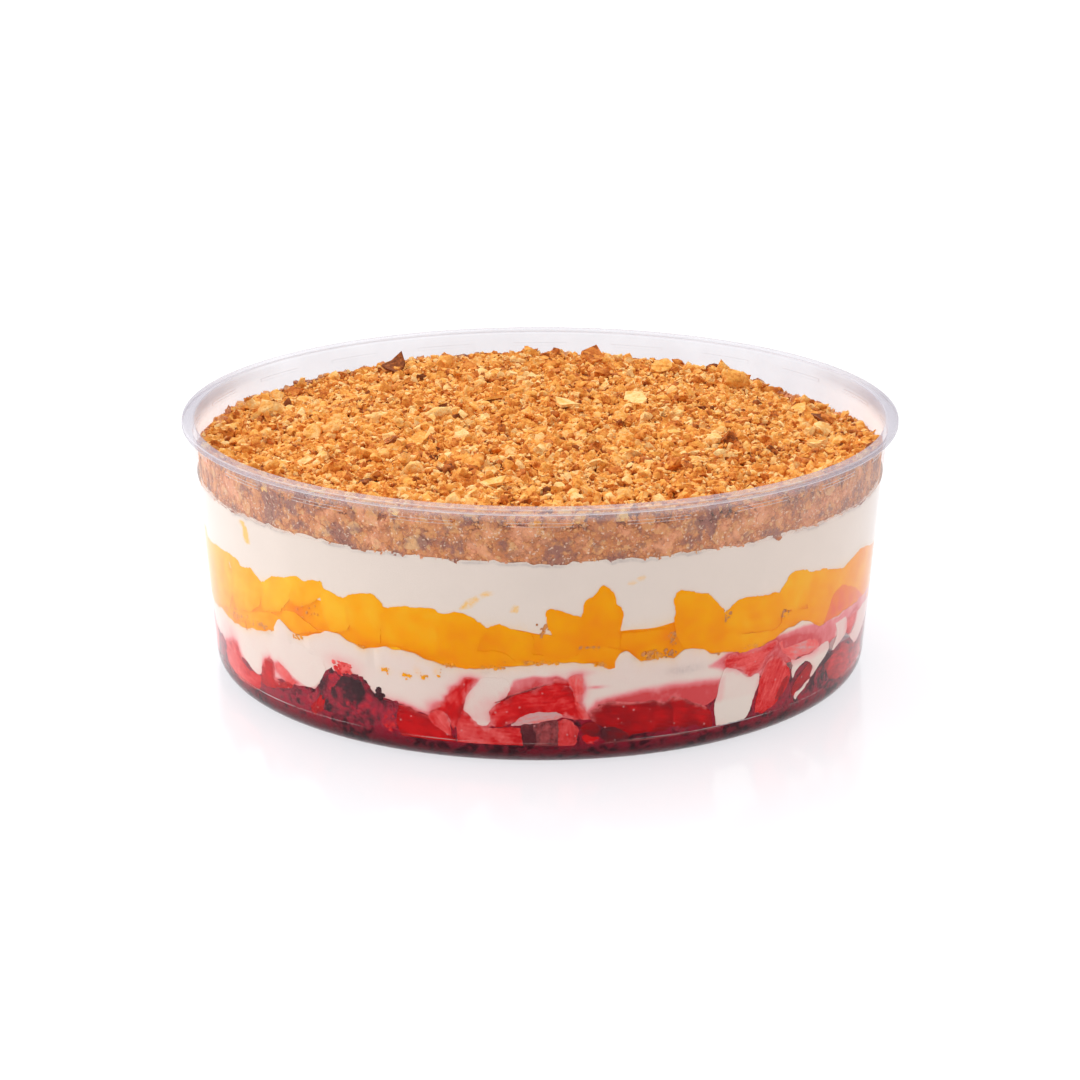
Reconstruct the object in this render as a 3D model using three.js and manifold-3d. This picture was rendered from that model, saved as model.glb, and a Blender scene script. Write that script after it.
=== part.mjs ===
// A fruit trifle in its round, clear plastic tub. Millimetres, +Z up.
// The origin is the centre of the base, on the surface that the tub stands on. The front faces -Y.
// From the floor up, the tub holds berries, cream, peach, cream and a crumb topping.

import * as THREE from 'three';
import { ConvexGeometry } from 'three/addons/geometries/ConvexGeometry.js';
import { ImprovedNoise } from 'three/addons/math/ImprovedNoise.js';
import { mergeVertices } from 'three/addons/utils/BufferGeometryUtils.js';
import Module from 'manifold-3d';

// The tub: radii and heights of its section.
const TUB_HEIGHT = 67.5;
const RIM_RADIUS = 95;
const MOUTH_RADIUS = 91.6;
const LIP_DEPTH = 1.6;
const LIP_ROUND = 0.45;
const WALL_GROUND_RADIUS = 87.3; // the wall's outer face, carried down to the ground
const WALL_FLARE = 0.0755; // how much the radius grows for each mm of height
const WALL_THICKNESS = 1;
const WALL_TOP = 64.4; // the wall turns out into the lip above this
const HEEL_ROUND = 4.6;
const HEEL_TURNS = [0, 0.5, 1]; // shares of the heel's quarter turn that carry a point
const FLOOR_TOP = 1.9;
const FOOT_INNER_RADIUS = 75; // the tub stands on a ring between this and the heel
const FOOT_LIFT = 1; // how far the base is raised inside the ring
const TUB_SIDES = 56;

// The stacking lugs, in a row round the wall under the lip.
const LUG_COUNT = 20;
const LUG_ARC = 10; // degrees
const LUG_HEIGHT = 0.9;
const LUG_PROUD = 0.45;
const LUG_BELOW_RIM = 4.4;

// The filling: the gap between neighbours and the rings of points of a layer's face.
const GAP = 0.3;
const LAYER_SIDES = 28;
const LAYER_RINGS = [92, 60];
const GROUND_CUT = -4; // the flat underside of the solids that trim the layers

// The faces between the layers. Each has a mean height, its unevenness in height, the size of
// its lumps, and the swells and hollows that show at the wall: bearing and spread in degrees.
const BERRY_FACE = {
  level: 13.5,
  rough: 1.6,
  lump: 17,
  swells: [
    { bearing: -66, spread: 9, rise: -1.5 },
    { bearing: -33, spread: 6, rise: 4 },
    { bearing: 66, spread: 18, rise: 3.5 },
  ],
};
const LOWER_CREAM_FACE = {
  level: 26.2,
  rough: 1.1,
  lump: 16,
  swells: [
    { bearing: -66, spread: 10, rise: -4 },
    { bearing: -33, spread: 9, rise: 2.6 },
    { bearing: 9, spread: 13, rise: 1.4 },
    { bearing: 54, spread: 8, rise: -1.8 },
    { bearing: 76, spread: 9, rise: -2.5 },
  ],
};
const PEACH_FACE = {
  level: 36.4,
  rough: 1.1,
  lump: 15,
  swells: [
    { bearing: -45, spread: 30, rise: 1 },
    { bearing: 9, spread: 11, rise: -2 },
    { bearing: 52, spread: 24, rise: 1.6 },
  ],
};
const UPPER_CREAM_FACE = { level: 53.2, rough: 1.5, lump: 11, swells: [] };
const SWELL_FADE = [55, 85]; // a swell grows from nothing to its full rise between these radii

// Pieces of fruit and tongues of cream against the wall.
const PIECE_DEPTH = 15;
const PIECE_OVERHANG = 4; // how far a piece would pass the filling's side, which trims it flat
const CLEARANCE = 0.55; // growth of a piece's half sizes that moves each of its faces out by a gap
const PEACH_ROOT = 30.5; // the diced peach that stands out of its layer starts at this height
const BACK = [84, 280]; // the bearings that the seeded pieces round the back lie between

// The crumb topping: its relief, and the larger nuggets and flakes on it.
const CRUMB_TOP = 61.4;
const CRUMB_CELL = 7.2;
const CRUMB_ROUGHNESS = 1;
const CRUMB_DRIFT = 0.22; // how far a point of the relief strays, as a share of a cell
const CRUMB_CEILING = 63.3; // nothing in the topping stands above this
const CRUMB_EDGE = 5; // the pieces' centres keep this far inside the filling's side
const CRUMB_PROUD = 0.4; // a piece's centre lies this far above the mean face
const CRUMB_TILT = 0.6; // radians
const NUGGETS = { count: 24, half: [[1.7, 3.2], [1.4, 2.6], [1.1, 2]] };
const FLAKES = { count: 16, half: [[3, 5], [2.4, 3.8], [0.8, 0.9]] };

const noise = new ImprovedNoise();
const wasm = await Module();
wasm.setup();

/** A seeded generator of numbers from 0 to 1. */
function seeded(seed) {
  let state = seed;
  return () => {
    state = (state * 1664525 + 1013904223) % 4294967296;
    return state / 4294967296;
  };
}

/** A seeded draw between two values. */
const between = (random, low, high) => low + (high - low) * random();

/** The wall's outer radius at a height. */
const wallRadius = (z) => WALL_GROUND_RADIUS + WALL_FLARE * z;

/** The filling's radius at a height, a gap inside the wall. */
const fillRadius = (z) => wallRadius(z) - WALL_THICKNESS - GAP;

/** A point of the quarter circle from straight down to straight out, as a share 0 to 1 of its turn. */
function heelPoint(centreRadius, centreHeight, round, share) {
  const turn = (share * Math.PI) / 2;
  return new THREE.Vector2(
    centreRadius + round * Math.sin(turn),
    centreHeight - round * Math.cos(turn),
  );
}

/** The solid of a closed geometry, with its shared points merged and its faces turned outwards. */
function solid(geometry) {
  const bare = geometry.clone();
  for (const name of Object.keys(bare.attributes)) {
    if (name !== 'position') bare.deleteAttribute(name);
  }
  const merged = mergeVertices(bare, 1e-4);
  const points = merged.attributes.position;
  const index = merged.index.array;
  const corner = () => new THREE.Vector3();
  const [a, b, c] = [corner(), corner(), corner()];
  const triangles = [];
  let volume = 0;
  for (let i = 0; i < index.length; i += 3) {
    const [p, q, r] = index.slice(i, i + 3);
    if (p === q || q === r || r === p) continue;
    triangles.push([p, q, r]);
    a.fromBufferAttribute(points, p);
    b.fromBufferAttribute(points, q);
    c.fromBufferAttribute(points, r);
    volume += a.dot(b.cross(c));
  }
  const facing = volume > 0 ? triangles : triangles.map(([p, q, r]) => [p, r, q]);
  return new wasm.Manifold(new wasm.Mesh({
    numProp: 3,
    vertProperties: new Float32Array(points.array),
    triVerts: new Uint32Array(facing.flat()),
  }));
}

/** All of a list of solids joined. */
const joined = (solids) => solids.reduce((whole, piece) => whole.add(piece));

/** The largest body of a solid, without loose scraps and sealed hollows. */
function largestBody(whole) {
  const bodies = whole.decompose();
  return bodies.reduce((best, body) => (body.volume() > best.volume() ? body : best));
}

/** A profile turned round the upright axis, as a solid. The points are (radius, height). */
const turned = (profile, sides) => solid(new THREE.LatheGeometry(profile, sides).rotateX(Math.PI / 2));

/** A named mesh of a solid. */
function nodeOf(name, body, look) {
  const { vertProperties, triVerts } = largestBody(body).getMesh();
  const geometry = new THREE.BufferGeometry();
  geometry.setAttribute('position', new THREE.BufferAttribute(vertProperties, 3));
  geometry.setIndex(new THREE.BufferAttribute(triVerts, 1));
  geometry.computeVertexNormals();
  const mesh = new THREE.Mesh(geometry, new THREE.MeshStandardMaterial(look));
  mesh.name = name;
  return mesh;
}

// ---------------------------------------------------------------- tub

/** The tub's shell: a foot ring, a rounded heel, a flared wall and a flat lip with round edges. */
function tubShell() {
  const at = (radius, height) => new THREE.Vector2(radius, height);
  const heelInside = wallRadius(HEEL_ROUND) - HEEL_ROUND;
  const lipBottom = TUB_HEIGHT - LIP_DEPTH;
  const inside = (z) => wallRadius(z) - WALL_THICKNESS;
  const innerHeel = FLOOR_TOP + HEEL_ROUND;
  const outer = [
    at(0, FOOT_LIFT),
    at(FOOT_INNER_RADIUS - FOOT_LIFT, FOOT_LIFT),
    at(FOOT_INNER_RADIUS, 0),
    ...HEEL_TURNS.map((share) => heelPoint(heelInside, HEEL_ROUND, HEEL_ROUND, share)),
    at(wallRadius(WALL_TOP), WALL_TOP),
    at(wallRadius(WALL_TOP) + LIP_ROUND, lipBottom),
    at(RIM_RADIUS - LIP_ROUND, lipBottom),
    at(RIM_RADIUS, lipBottom + LIP_ROUND),
    at(RIM_RADIUS, TUB_HEIGHT - LIP_ROUND),
    at(RIM_RADIUS - LIP_ROUND, TUB_HEIGHT),
  ];
  const inner = [
    at(MOUTH_RADIUS + LIP_ROUND, TUB_HEIGHT),
    at(MOUTH_RADIUS, TUB_HEIGHT - LIP_ROUND),
    at(inside(WALL_TOP), WALL_TOP),
    ...HEEL_TURNS.toReversed().map((share) => (
      heelPoint(inside(innerHeel) - HEEL_ROUND, innerHeel, HEEL_ROUND, share)
    )),
    at(0, FLOOR_TOP),
  ];
  return turned([...outer, ...inner], TUB_SIDES);
}

/** One stacking lug: a short arc rib that stands out of the wall. */
function lug(bearing) {
  const middle = TUB_HEIGHT - LUG_BELOW_RIM;
  const half = THREE.MathUtils.degToRad(LUG_ARC / 2);
  const facing = THREE.MathUtils.degToRad(bearing - 90);
  const root = wallRadius(middle) - WALL_THICKNESS / 2;
  const crest = wallRadius(middle) + LUG_PROUD;
  const outline = new THREE.Shape();
  outline.absarc(0, 0, crest, facing - half, facing + half, false);
  outline.absarc(0, 0, root, facing + half, facing - half, true);
  const rib = new THREE.ExtrudeGeometry(outline, {
    depth: LUG_HEIGHT,
    bevelEnabled: false,
    curveSegments: 2,
  });
  return solid(rib.translate(0, 0, middle - LUG_HEIGHT / 2));
}

function tub() {
  const lugs = Array.from({ length: LUG_COUNT }, (_, i) => lug((i * 360) / LUG_COUNT));
  return joined([tubShell(), ...lugs]);
}

// ---------------------------------------------------------------- the shapes that fill it

/** The whole space for the filling, a gap inside the tub. */
function fillSpace() {
  const heelTop = FLOOR_TOP + HEEL_ROUND;
  const floor = FLOOR_TOP + GAP;
  const round = HEEL_ROUND - GAP;
  const mouth = WALL_TOP - GAP;
  return turned([
    new THREE.Vector2(0, floor),
    ...HEEL_TURNS.map((share) => heelPoint(fillRadius(heelTop) - round, heelTop, round, share)),
    new THREE.Vector2(fillRadius(mouth), mouth),
    new THREE.Vector2(0, mouth),
  ], TUB_SIDES);
}

/** The bearing of a point seen from above: 0 is the front, and it grows towards the right, in degrees. */
const bearingOf = (x, y) => THREE.MathUtils.radToDeg(Math.atan2(x, -y));

/** Smooth unevenness with lumps of about the given size, from -1 to 1, in another draw for each key. */
const uneven = (x, y, lump, key) => noise.noise(x / lump, y / lump, key);

/** The height of a layer's face at a point. */
function faceHeight({ level, rough, lump, swells }, x, y) {
  const edge = THREE.MathUtils.smoothstep(Math.hypot(x, y), ...SWELL_FADE);
  const swell = swells.reduce((sum, { bearing, spread, rise }) => (
    sum + rise * Math.exp(-(((bearingOf(x, y) - bearing) / spread) ** 2))
  ), 0);
  return level + rough * uneven(x, y, lump, level) + edge * swell;
}

/** All that lies under a layer's face, or under that face raised a little, as a solid of rings. */
function under(face, lift = 0) {
  const [outermost] = LAYER_RINGS;
  const profile = [
    new THREE.Vector2(0, GROUND_CUT),
    new THREE.Vector2(outermost, GROUND_CUT),
    ...LAYER_RINGS.map((radius) => new THREE.Vector2(radius, 0)),
    new THREE.Vector2(0, 0),
  ];
  const mound = new THREE.LatheGeometry(profile, LAYER_SIDES).rotateX(Math.PI / 2);
  const points = mound.attributes.position;
  for (let i = 0; i < points.count; i += 1) {
    if (points.getZ(i) > GROUND_CUT / 2) {
      points.setZ(i, faceHeight(face, points.getX(i), points.getY(i)) + lift);
    }
  }
  return solid(mound);
}

// Each of these gives the corner points of a convex piece in a cube from -1 to 1.

/** A block whose corners are out of true. */
function blockPoints(random) {
  const points = [];
  for (const x of [-1, 1]) {
    for (const y of [-1, 1]) {
      for (const z of [-1, 1]) {
        const wear = new THREE.Vector3(...[0.55, 0.8, 0.7].map((low) => between(random, low, 1)));
        points.push(new THREE.Vector3(x, y, z).multiply(wear));
      }
    }
  }
  return points;
}

/** A diced piece of peach: a block with uneven shoulders and a narrow crown. */
function peachPoints(random) {
  const crown = between(random, -0.55, 0.55);
  const points = [new THREE.Vector3(crown, -0.9, 1), new THREE.Vector3(crown, 0.9, 1)];
  for (const x of [-1, 1]) {
    const shoulder = between(random, 0, 0.75);
    for (const y of [-1, 1]) {
      points.push(new THREE.Vector3(x, y, -1), new THREE.Vector3(0.92 * x, y, shoulder));
    }
  }
  return points;
}

/** A round berry with a few flat sides. */
function berryPoints(random) {
  const points = [];
  const ball = new THREE.IcosahedronGeometry(1, 0).attributes.position;
  for (let i = 0; i < ball.count; i += 1) {
    points.push(new THREE.Vector3().fromBufferAttribute(ball, i));
  }
  const turn = new THREE.Euler(random() * 3, random() * 3, random() * 3);
  return points.map((point) => point.applyEuler(turn));
}

/** A strawberry: a blunt shoulder at the top that narrows to a tip at the bottom. */
function strawberryPoints() {
  const points = [new THREE.Vector3(0, 0, -1)];
  for (const [radius, height] of [[1, 0.25], [0.6, 1]]) {
    for (let i = 0; i < 5; i += 1) {
      const turn = (i * 2 * Math.PI) / 5 + radius;
      points.push(new THREE.Vector3(radius * Math.cos(turn), radius * Math.sin(turn), height));
    }
  }
  return points;
}

/** A tongue of cream that hangs down: broad above, with a narrower blunt end. */
function tonguePoints() {
  const points = [];
  for (const [width, height] of [[1, 1], [0.7, -1]]) {
    for (const x of [-width, width]) {
      for (const y of [-1, 1]) {
        points.push(new THREE.Vector3(x, y, height));
      }
    }
  }
  return points;
}

/**
 * A piece against the wall: its corner points, the half sizes along the wall, inwards and up,
 * and its place. A piece can be given again a little larger, to clear a gap round it.
 */
function wallPiece(points, { bearing, low, high, width, lean = 0 }) {
  const middle = (low + high) / 2;
  const turn = THREE.MathUtils.degToRad(bearing);
  const radius = fillRadius(middle) - PIECE_DEPTH / 2 + PIECE_OVERHANG;
  const place = new THREE.Matrix4()
    .makeRotationZ(turn)
    .multiply(new THREE.Matrix4().makeRotationY(THREE.MathUtils.degToRad(lean)))
    .setPosition(radius * Math.sin(turn), -radius * Math.cos(turn), middle);
  return (grow = 0) => {
    const size = new THREE.Matrix4()
      .makeScale(width / 2 + grow, PIECE_DEPTH / 2 + grow, (high - low) / 2 + grow);
    const corners = points.map((point) => point.clone().applyMatrix4(size).applyMatrix4(place));
    return solid(new ConvexGeometry(corners));
  };
}

/** All the pieces of a list as one solid, each grown by the same amount. */
const grown = (pieces, amount = 0) => joined(pieces.map((piece) => piece(amount)));

/** The bearings round the back at even steps. */
const backBearings = (step) => (
  Array.from({ length: Math.ceil((BACK[1] - BACK[0]) / step) }, (_, i) => BACK[0] + i * step)
);

// ---------------------------------------------------------------- berries

// The fruit that shows at the front: bearing and tilt in degrees, heights and width in mm.
const FRONT_BERRIES = [
  { shape: strawberryPoints, bearing: -63, low: 1, high: 16.5, width: 25, lean: 10 },
  { shape: berryPoints, bearing: -53, low: 4, high: 16, width: 10 },
  { shape: berryPoints, bearing: -47.5, low: 4, high: 17, width: 10 },
  { shape: berryPoints, bearing: -36.5, low: 9, high: 23.8, width: 11 },
  { shape: berryPoints, bearing: -31, low: 7, high: 22.6, width: 11 },
  { shape: berryPoints, bearing: -25, low: 2, high: 15, width: 12 },
  { shape: strawberryPoints, bearing: -13, low: 3, high: 22.5, width: 13, lean: 14 },
  { shape: strawberryPoints, bearing: -0.6, low: 5, high: 22.8, width: 24, lean: -8 },
  { shape: strawberryPoints, bearing: 13.5, low: 2, high: 18, width: 22, lean: 24 },
  { shape: strawberryPoints, bearing: 24, low: 1, high: 17.5, width: 15, lean: -18 },
  { shape: strawberryPoints, bearing: 41, low: 3, high: 22, width: 14, lean: 12 },
  { shape: blockPoints, bearing: 50, low: 12, high: 22.6, width: 18, lean: 12 },
  { shape: strawberryPoints, bearing: 61, low: 1, high: 19, width: 16, lean: -10 },
  { shape: berryPoints, bearing: 73, low: 4, high: 19, width: 15 },
];

// The cream that has run down between the fruit at the front.
const FRONT_TONGUES = [
  { bearing: -58, low: 10.5, high: 19, width: 6 },
  { bearing: -42, low: 12.3, high: 21, width: 5 },
  { bearing: -19.5, low: 11.2, high: 19, width: 10 },
  { bearing: -8, low: 9.8, high: 19, width: 4.5 },
  { bearing: 33.6, low: 4.9, high: 19, width: 13 },
  { bearing: 56, low: 8, high: 17, width: 5 },
  { bearing: 67, low: 6, high: 17, width: 5 },
];

/** The fruit round the back: strawberries and round berries of seeded sizes. */
function backBerries(random) {
  return backBearings(15).map((bearing) => {
    const strawberry = random() < 0.55;
    return {
      shape: strawberry ? strawberryPoints : berryPoints,
      bearing,
      low: between(random, 1, 5),
      high: between(random, 14, 21),
      width: strawberry ? between(random, 14, 20) : between(random, 10, 14),
      lean: between(random, -22, 22),
    };
  });
}

/** The cream's tongues round the back. */
function backTongues(random) {
  return backBearings(36).map((bearing) => (
    { bearing, low: between(random, 6, 11), high: 18, width: between(random, 4, 8) }
  ));
}

// ---------------------------------------------------------------- peach

// The diced peach that shows at the front.
const FRONT_PEACHES = [
  { bearing: -72, high: 38.6, width: 13, lean: 8 },
  { bearing: -61.5, high: 40.4, width: 12, lean: -8 },
  { bearing: -52, high: 38.8, width: 14, lean: 10 },
  { bearing: -44, high: 41.5, width: 11, lean: -18 },
  { bearing: -36.5, high: 43.4, width: 11, lean: 6 },
  { bearing: -27.5, high: 42.8, width: 14, lean: -10 },
  { bearing: -17.5, high: 41, width: 15, lean: 14 },
  { bearing: -8, high: 37.6, width: 13, lean: -6 },
  { bearing: 1.2, high: 41.8, width: 9, lean: -20 },
  { bearing: 9, high: 48, width: 12, lean: 12 },
  { bearing: 16.5, high: 36.4, width: 12, lean: 4 },
  { bearing: 24.6, high: 44.6, width: 14, lean: 5 },
  { bearing: 33.5, high: 40.2, width: 12, lean: -12 },
  { bearing: 41, high: 40, width: 12, lean: 8 },
  { bearing: 47, high: 43.6, width: 11, lean: -5 },
  { bearing: 55.5, high: 40.4, width: 13, lean: 12 },
  { bearing: 65.5, high: 41, width: 14, lean: -9 },
  { bearing: 76, high: 38.2, width: 13, lean: 6 },
];

/** The diced peach round the back, of seeded sizes. */
function backPeaches(random) {
  return backBearings(13).map((bearing) => ({
    bearing,
    high: between(random, 38, 44),
    width: between(random, 10, 15),
    lean: between(random, -16, 16),
  }));
}

// ---------------------------------------------------------------- crumb topping

/** All that lies under the topping's crumbly face: a fine block whose upper points are out of true. */
function underCrumbs(random) {
  const side = 2 * RIM_RADIUS;
  const cells = Math.round(side / CRUMB_CELL);
  const drift = CRUMB_CELL * CRUMB_DRIFT;
  const block = new THREE.BoxGeometry(side, side, CRUMB_TOP - GROUND_CUT, cells, cells, 1);
  block.translate(0, 0, (CRUMB_TOP + GROUND_CUT) / 2);
  block.deleteAttribute('normal');
  block.deleteAttribute('uv');
  const merged = mergeVertices(block);
  const points = merged.attributes.position;
  for (let i = 0; i < points.count; i += 1) {
    const [x, y] = [points.getX(i), points.getY(i)];
    const inside = Math.max(Math.abs(x), Math.abs(y)) < (side - CRUMB_CELL) / 2;
    if (points.getZ(i) > 0 && inside) {
      points.setXYZ(
        i,
        x + between(random, -drift, drift),
        y + between(random, -drift, drift),
        CRUMB_TOP + between(random, -CRUMB_ROUGHNESS, CRUMB_ROUGHNESS),
      );
    }
  }
  return solid(merged);
}

/** A loose piece somewhere on the topping, sunk so far that its top stays under the ceiling. */
function crumbPiece(random, half) {
  const tilt = () => between(random, -CRUMB_TILT, CRUMB_TILT);
  const turn = new THREE.Euler(tilt(), tilt(), random() * 2 * Math.PI, 'ZYX');
  const bearing = random() * 2 * Math.PI;
  const radius = (fillRadius(CRUMB_TOP) - CRUMB_EDGE) * Math.sqrt(random());
  const size = new THREE.Vector3(...half.map(([low, high]) => between(random, low, high)));
  const corners = blockPoints(random).map((point) => point.multiply(size).applyEuler(turn));
  const reach = Math.max(...corners.map((corner) => corner.z));
  const height = Math.min(CRUMB_TOP + CRUMB_PROUD, CRUMB_CEILING - reach);
  const centre = new THREE.Vector3(radius * Math.sin(bearing), radius * Math.cos(bearing), height);
  return solid(new ConvexGeometry(corners.map((corner) => corner.add(centre))));
}

/** The nuggets and flakes that stand out of the topping. */
function crumbPieces(random) {
  return joined([NUGGETS, FLAKES].flatMap(({ count, half }) => (
    Array.from({ length: count }, () => crumbPiece(random, half))
  )));
}

// ---------------------------------------------------------------- the whole

const space = fillSpace();
const berryRandom = seeded(417);
const berries = [...FRONT_BERRIES, ...backBerries(berryRandom)]
  .map(({ shape, ...place }) => wallPiece(shape(berryRandom), place));
const tongues = [...FRONT_TONGUES, ...backTongues(berryRandom)]
  .map((place) => wallPiece(tonguePoints(), place));
const peachRandom = seeded(90);
const peaches = [...FRONT_PEACHES, ...backPeaches(peachRandom)]
  .map((place) => wallPiece(peachPoints(peachRandom), { low: PEACH_ROOT, ...place }));
const crumbRandom = seeded(2024);

const berryLayer = space
  .intersect(under(BERRY_FACE).add(grown(berries)))
  .subtract(grown(tongues, CLEARANCE));

const lowerCream = space
  .intersect(under(LOWER_CREAM_FACE, -GAP))
  .subtract(under(BERRY_FACE, GAP))
  .subtract(grown(berries, CLEARANCE))
  .add(space.intersect(grown(tongues)));

const peachLayer = space
  .intersect(under(PEACH_FACE).subtract(under(LOWER_CREAM_FACE)).add(grown(peaches)));

const upperCream = space
  .intersect(under(UPPER_CREAM_FACE, -GAP))
  .subtract(under(PEACH_FACE, GAP))
  .subtract(grown(peaches, CLEARANCE));

const crumbTopping = space
  .intersect(underCrumbs(crumbRandom).add(crumbPieces(crumbRandom)))
  .subtract(under(UPPER_CREAM_FACE));

const trifle = new THREE.Group();
trifle.add(
  nodeOf('tub', tub(), { color: 0xe9e6f0, roughness: 0.12, metalness: 0 }),
  nodeOf('berry_layer', berryLayer, { color: 0xa31226, roughness: 0.25, metalness: 0 }),
  nodeOf('lower_cream', lowerCream, { color: 0xf7efe6, roughness: 0.5, metalness: 0 }),
  nodeOf('peach_layer', peachLayer, { color: 0xf5a81c, roughness: 0.35, metalness: 0 }),
  nodeOf('upper_cream', upperCream, { color: 0xf7f0e4, roughness: 0.5, metalness: 0 }),
  nodeOf('crumb_topping', crumbTopping, { color: 0xd99149, roughness: 0.8, metalness: 0 }),
);

export default trifle;
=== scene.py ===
"""Fruit trifle in a round clear tub: the finished looks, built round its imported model.

Each layer of the filling is a disc that reaches just into the tub's wall. The fruit that shows is
pressed against the wall over it, cut by cut, and the crumbs lie loose on a bed of their own.
Places on the wall are given as a bearing in degrees, 0 at the front and growing to the right, and a
height over the table in millimetres.
"""

import math

import bmesh
import bpy
import numpy as np
from mathutils import Matrix, Vector, noise


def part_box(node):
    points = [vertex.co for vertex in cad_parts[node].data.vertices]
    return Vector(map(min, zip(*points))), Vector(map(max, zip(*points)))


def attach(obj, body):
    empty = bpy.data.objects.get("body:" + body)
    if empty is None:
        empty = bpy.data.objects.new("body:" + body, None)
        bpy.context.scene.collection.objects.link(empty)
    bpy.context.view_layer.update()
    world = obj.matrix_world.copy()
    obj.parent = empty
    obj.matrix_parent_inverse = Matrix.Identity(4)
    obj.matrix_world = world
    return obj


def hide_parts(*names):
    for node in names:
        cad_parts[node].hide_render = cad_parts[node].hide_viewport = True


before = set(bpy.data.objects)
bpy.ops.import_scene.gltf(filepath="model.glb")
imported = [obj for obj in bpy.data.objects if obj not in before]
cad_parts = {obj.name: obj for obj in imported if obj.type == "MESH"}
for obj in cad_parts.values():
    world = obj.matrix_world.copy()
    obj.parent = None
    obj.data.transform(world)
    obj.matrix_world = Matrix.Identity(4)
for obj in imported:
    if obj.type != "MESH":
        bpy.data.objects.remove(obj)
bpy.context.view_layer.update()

bl_info = {
    "name": "Fruit Trifle",
    "version": (1, 0, 0),
    "blender": (4, 5, 0),
    "location": "3D View > Sidebar > Trifle",
    "description": "Dresses the packed trifle: clear tub, fruit, cream and crumbs",
    "category": "Object",
}

MM = 0.001
TAU = math.tau

TUB_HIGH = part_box("tub")[1] / MM

# The tub's wall and heel, in millimetres
WALL_THICKNESS = 1.0
WALL_FOOT_RADIUS = 87.3
WALL_SLOPE = 0.0755
WALL_TOP = 64.4
HEEL_ROUND = 4.6
FLOOR_TOP = 1.9
FOOT_INNER_RADIUS = 75.0
FOOT_SLOPE = 1.0
FOOT_LIFT = 1.0
LIP_DEPTH = 1.6
LIP_WIDTH = 3.4
LIP_ROUND = 0.45
LIP_FLARE = 0.45
TUB_STEPS = 360
TUB_EDGE = 35

# Heights of the section's plain rows: on the clear wall, on its inner foot and on the hazy wall
WALL_ROWS = (20, 35)
INNER_FOOT_ROW = 10
FILM_LOW = 53.2
FILM_ROWS = (FILM_LOW, 61.4, 61.8)

# How far the rim is drawn in, and how far apart the clear and the hazy shell lie
RIM_CLEARANCE = 0.002
SHELL_GAP = 0.03

# The line of light round the heel
HEEL_LINE = (5.85, 6.05)

# How hazy the wall and the lip are: at the front, what their sides add and what the back adds
# The haze that the sides add is painted reflection of the room on the plastic turning away
WALL_FILM = (0.12, 1.5, 1.0)
LIP_FILM = (1.7, 0.9, -0.6)
# How much of the painted warm glow the lip's front gets
LIP_PAINTED_GLOW = 0.45

# Bearings: where the haze is thinnest, and over which the sides and the back begin
FILM_MIDDLE = -4
SIDE_FROM = (12, 88)
BACK_FROM = (96, 130)

# A line of light on the lip: its strength at the edge, and millimetres that it fades over
LINE_PEAK = 1.9
LINE_FADE = 0.2

# Twenty low stacking lugs under the lip
LUG_COUNT = 20
LUG_ARC = 10
LUG_LOW = 62.4
LUG_HIGH = 63.35
LUG_EDGE = 0.25
LUG_PROUD = 0.2

# How far into the wall each kind of piece reaches, in millimetres
JELLY_PROUD = 0.06
HEEL_PROUD = 0.5
CREAM_PROUD = 0.16
HUMP_PROUD = 0.3
RUN_PROUD = CREAM_PROUD + 0.04
SMEAR_PROUD = CREAM_PROUD + 0.02
FRUIT_PROUD = 0.21
PROUD_STEP = 0.014

# Pieces stay this high over the table in the heel, and this far under the lip's top
CUT_LOWEST = 3.6
DRUPELET_LOWEST = 3.8
CRUMB_HEADROOM = 0.1

# Edges of a cut steeper than this many degrees stay sharp
CUT_EDGE = 40

# How strongly the tub's plastic bends light
PLASTIC_IOR = 1.46

# Where the layers meet at the wall, in millimetres over the table
JELLY_TOP = 15.5
PEACH_FLOOR = 26.4
PEACH_CEILING = 36.0
CRUMB_FLOOR = 53.2
CRUMB_SURFACE = 60.9

# The layers' faces at the middle of the tub: bottom and top of each
LOWER_CREAM_CORE = (16.0, 26.0)
PEACH_CORE = (26.0, 37.0)
UPPER_CREAM_CORE = (36.5, 53.5)
CRUMB_CORE = (53.0, CRUMB_SURFACE)

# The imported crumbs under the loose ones, and how far out loose crumbs are strewn
BED_TOP_FROM = 55
BED_REACH = 0.985
BED_RINGS = 72
STREWN_RADIUS = 90.2

# Random fruit goes round the back of the tub, between these bearings
BACK_ARC = (84, 276)


def srgb(red, green, blue):
    """A screen colour, 0 to 255, as the linear colour that shaders take."""
    shares = (channel / 255 for channel in (red, green, blue))
    return tuple(s / 12.92 if s <= 0.04045 else ((s + 0.055) / 1.055) ** 2.4 for s in shares)


# -------- Settings --------


def colour_setting(name, description, *screen):
    """A colour that the user can change, given as it looks on a screen."""
    look = {"subtype": "COLOR", "size": 3, "min": 0, "max": 1, "default": srgb(*screen)}
    return bpy.props.FloatVectorProperty(name=name, description=description, **look)


def share_setting(name, description, share):
    """A number from 0 to 1."""
    return bpy.props.FloatProperty(
        name=name, description=description, subtype="FACTOR", min=0, max=1, default=share
    )


def length_setting(name, description, length):
    """A length in metres."""
    kind = {"subtype": "DISTANCE", "unit": "LENGTH", "min": 0, "precision": 5}
    return bpy.props.FloatProperty(name=name, description=description, default=length, **kind)


def plain_setting(name, description, value):
    """A number with no unit."""
    return bpy.props.FloatProperty(name=name, description=description, min=0, default=value)


def count_setting(name, count):
    """How many there are of a kind of crumb."""
    return bpy.props.IntProperty(name=name, description="How many", min=0, default=count)


def seed_setting(seed):
    """The number that starts a random draw."""
    return bpy.props.IntProperty(
        name="Seed", description="Starts the random draw of the pieces", min=0, default=seed
    )


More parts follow.
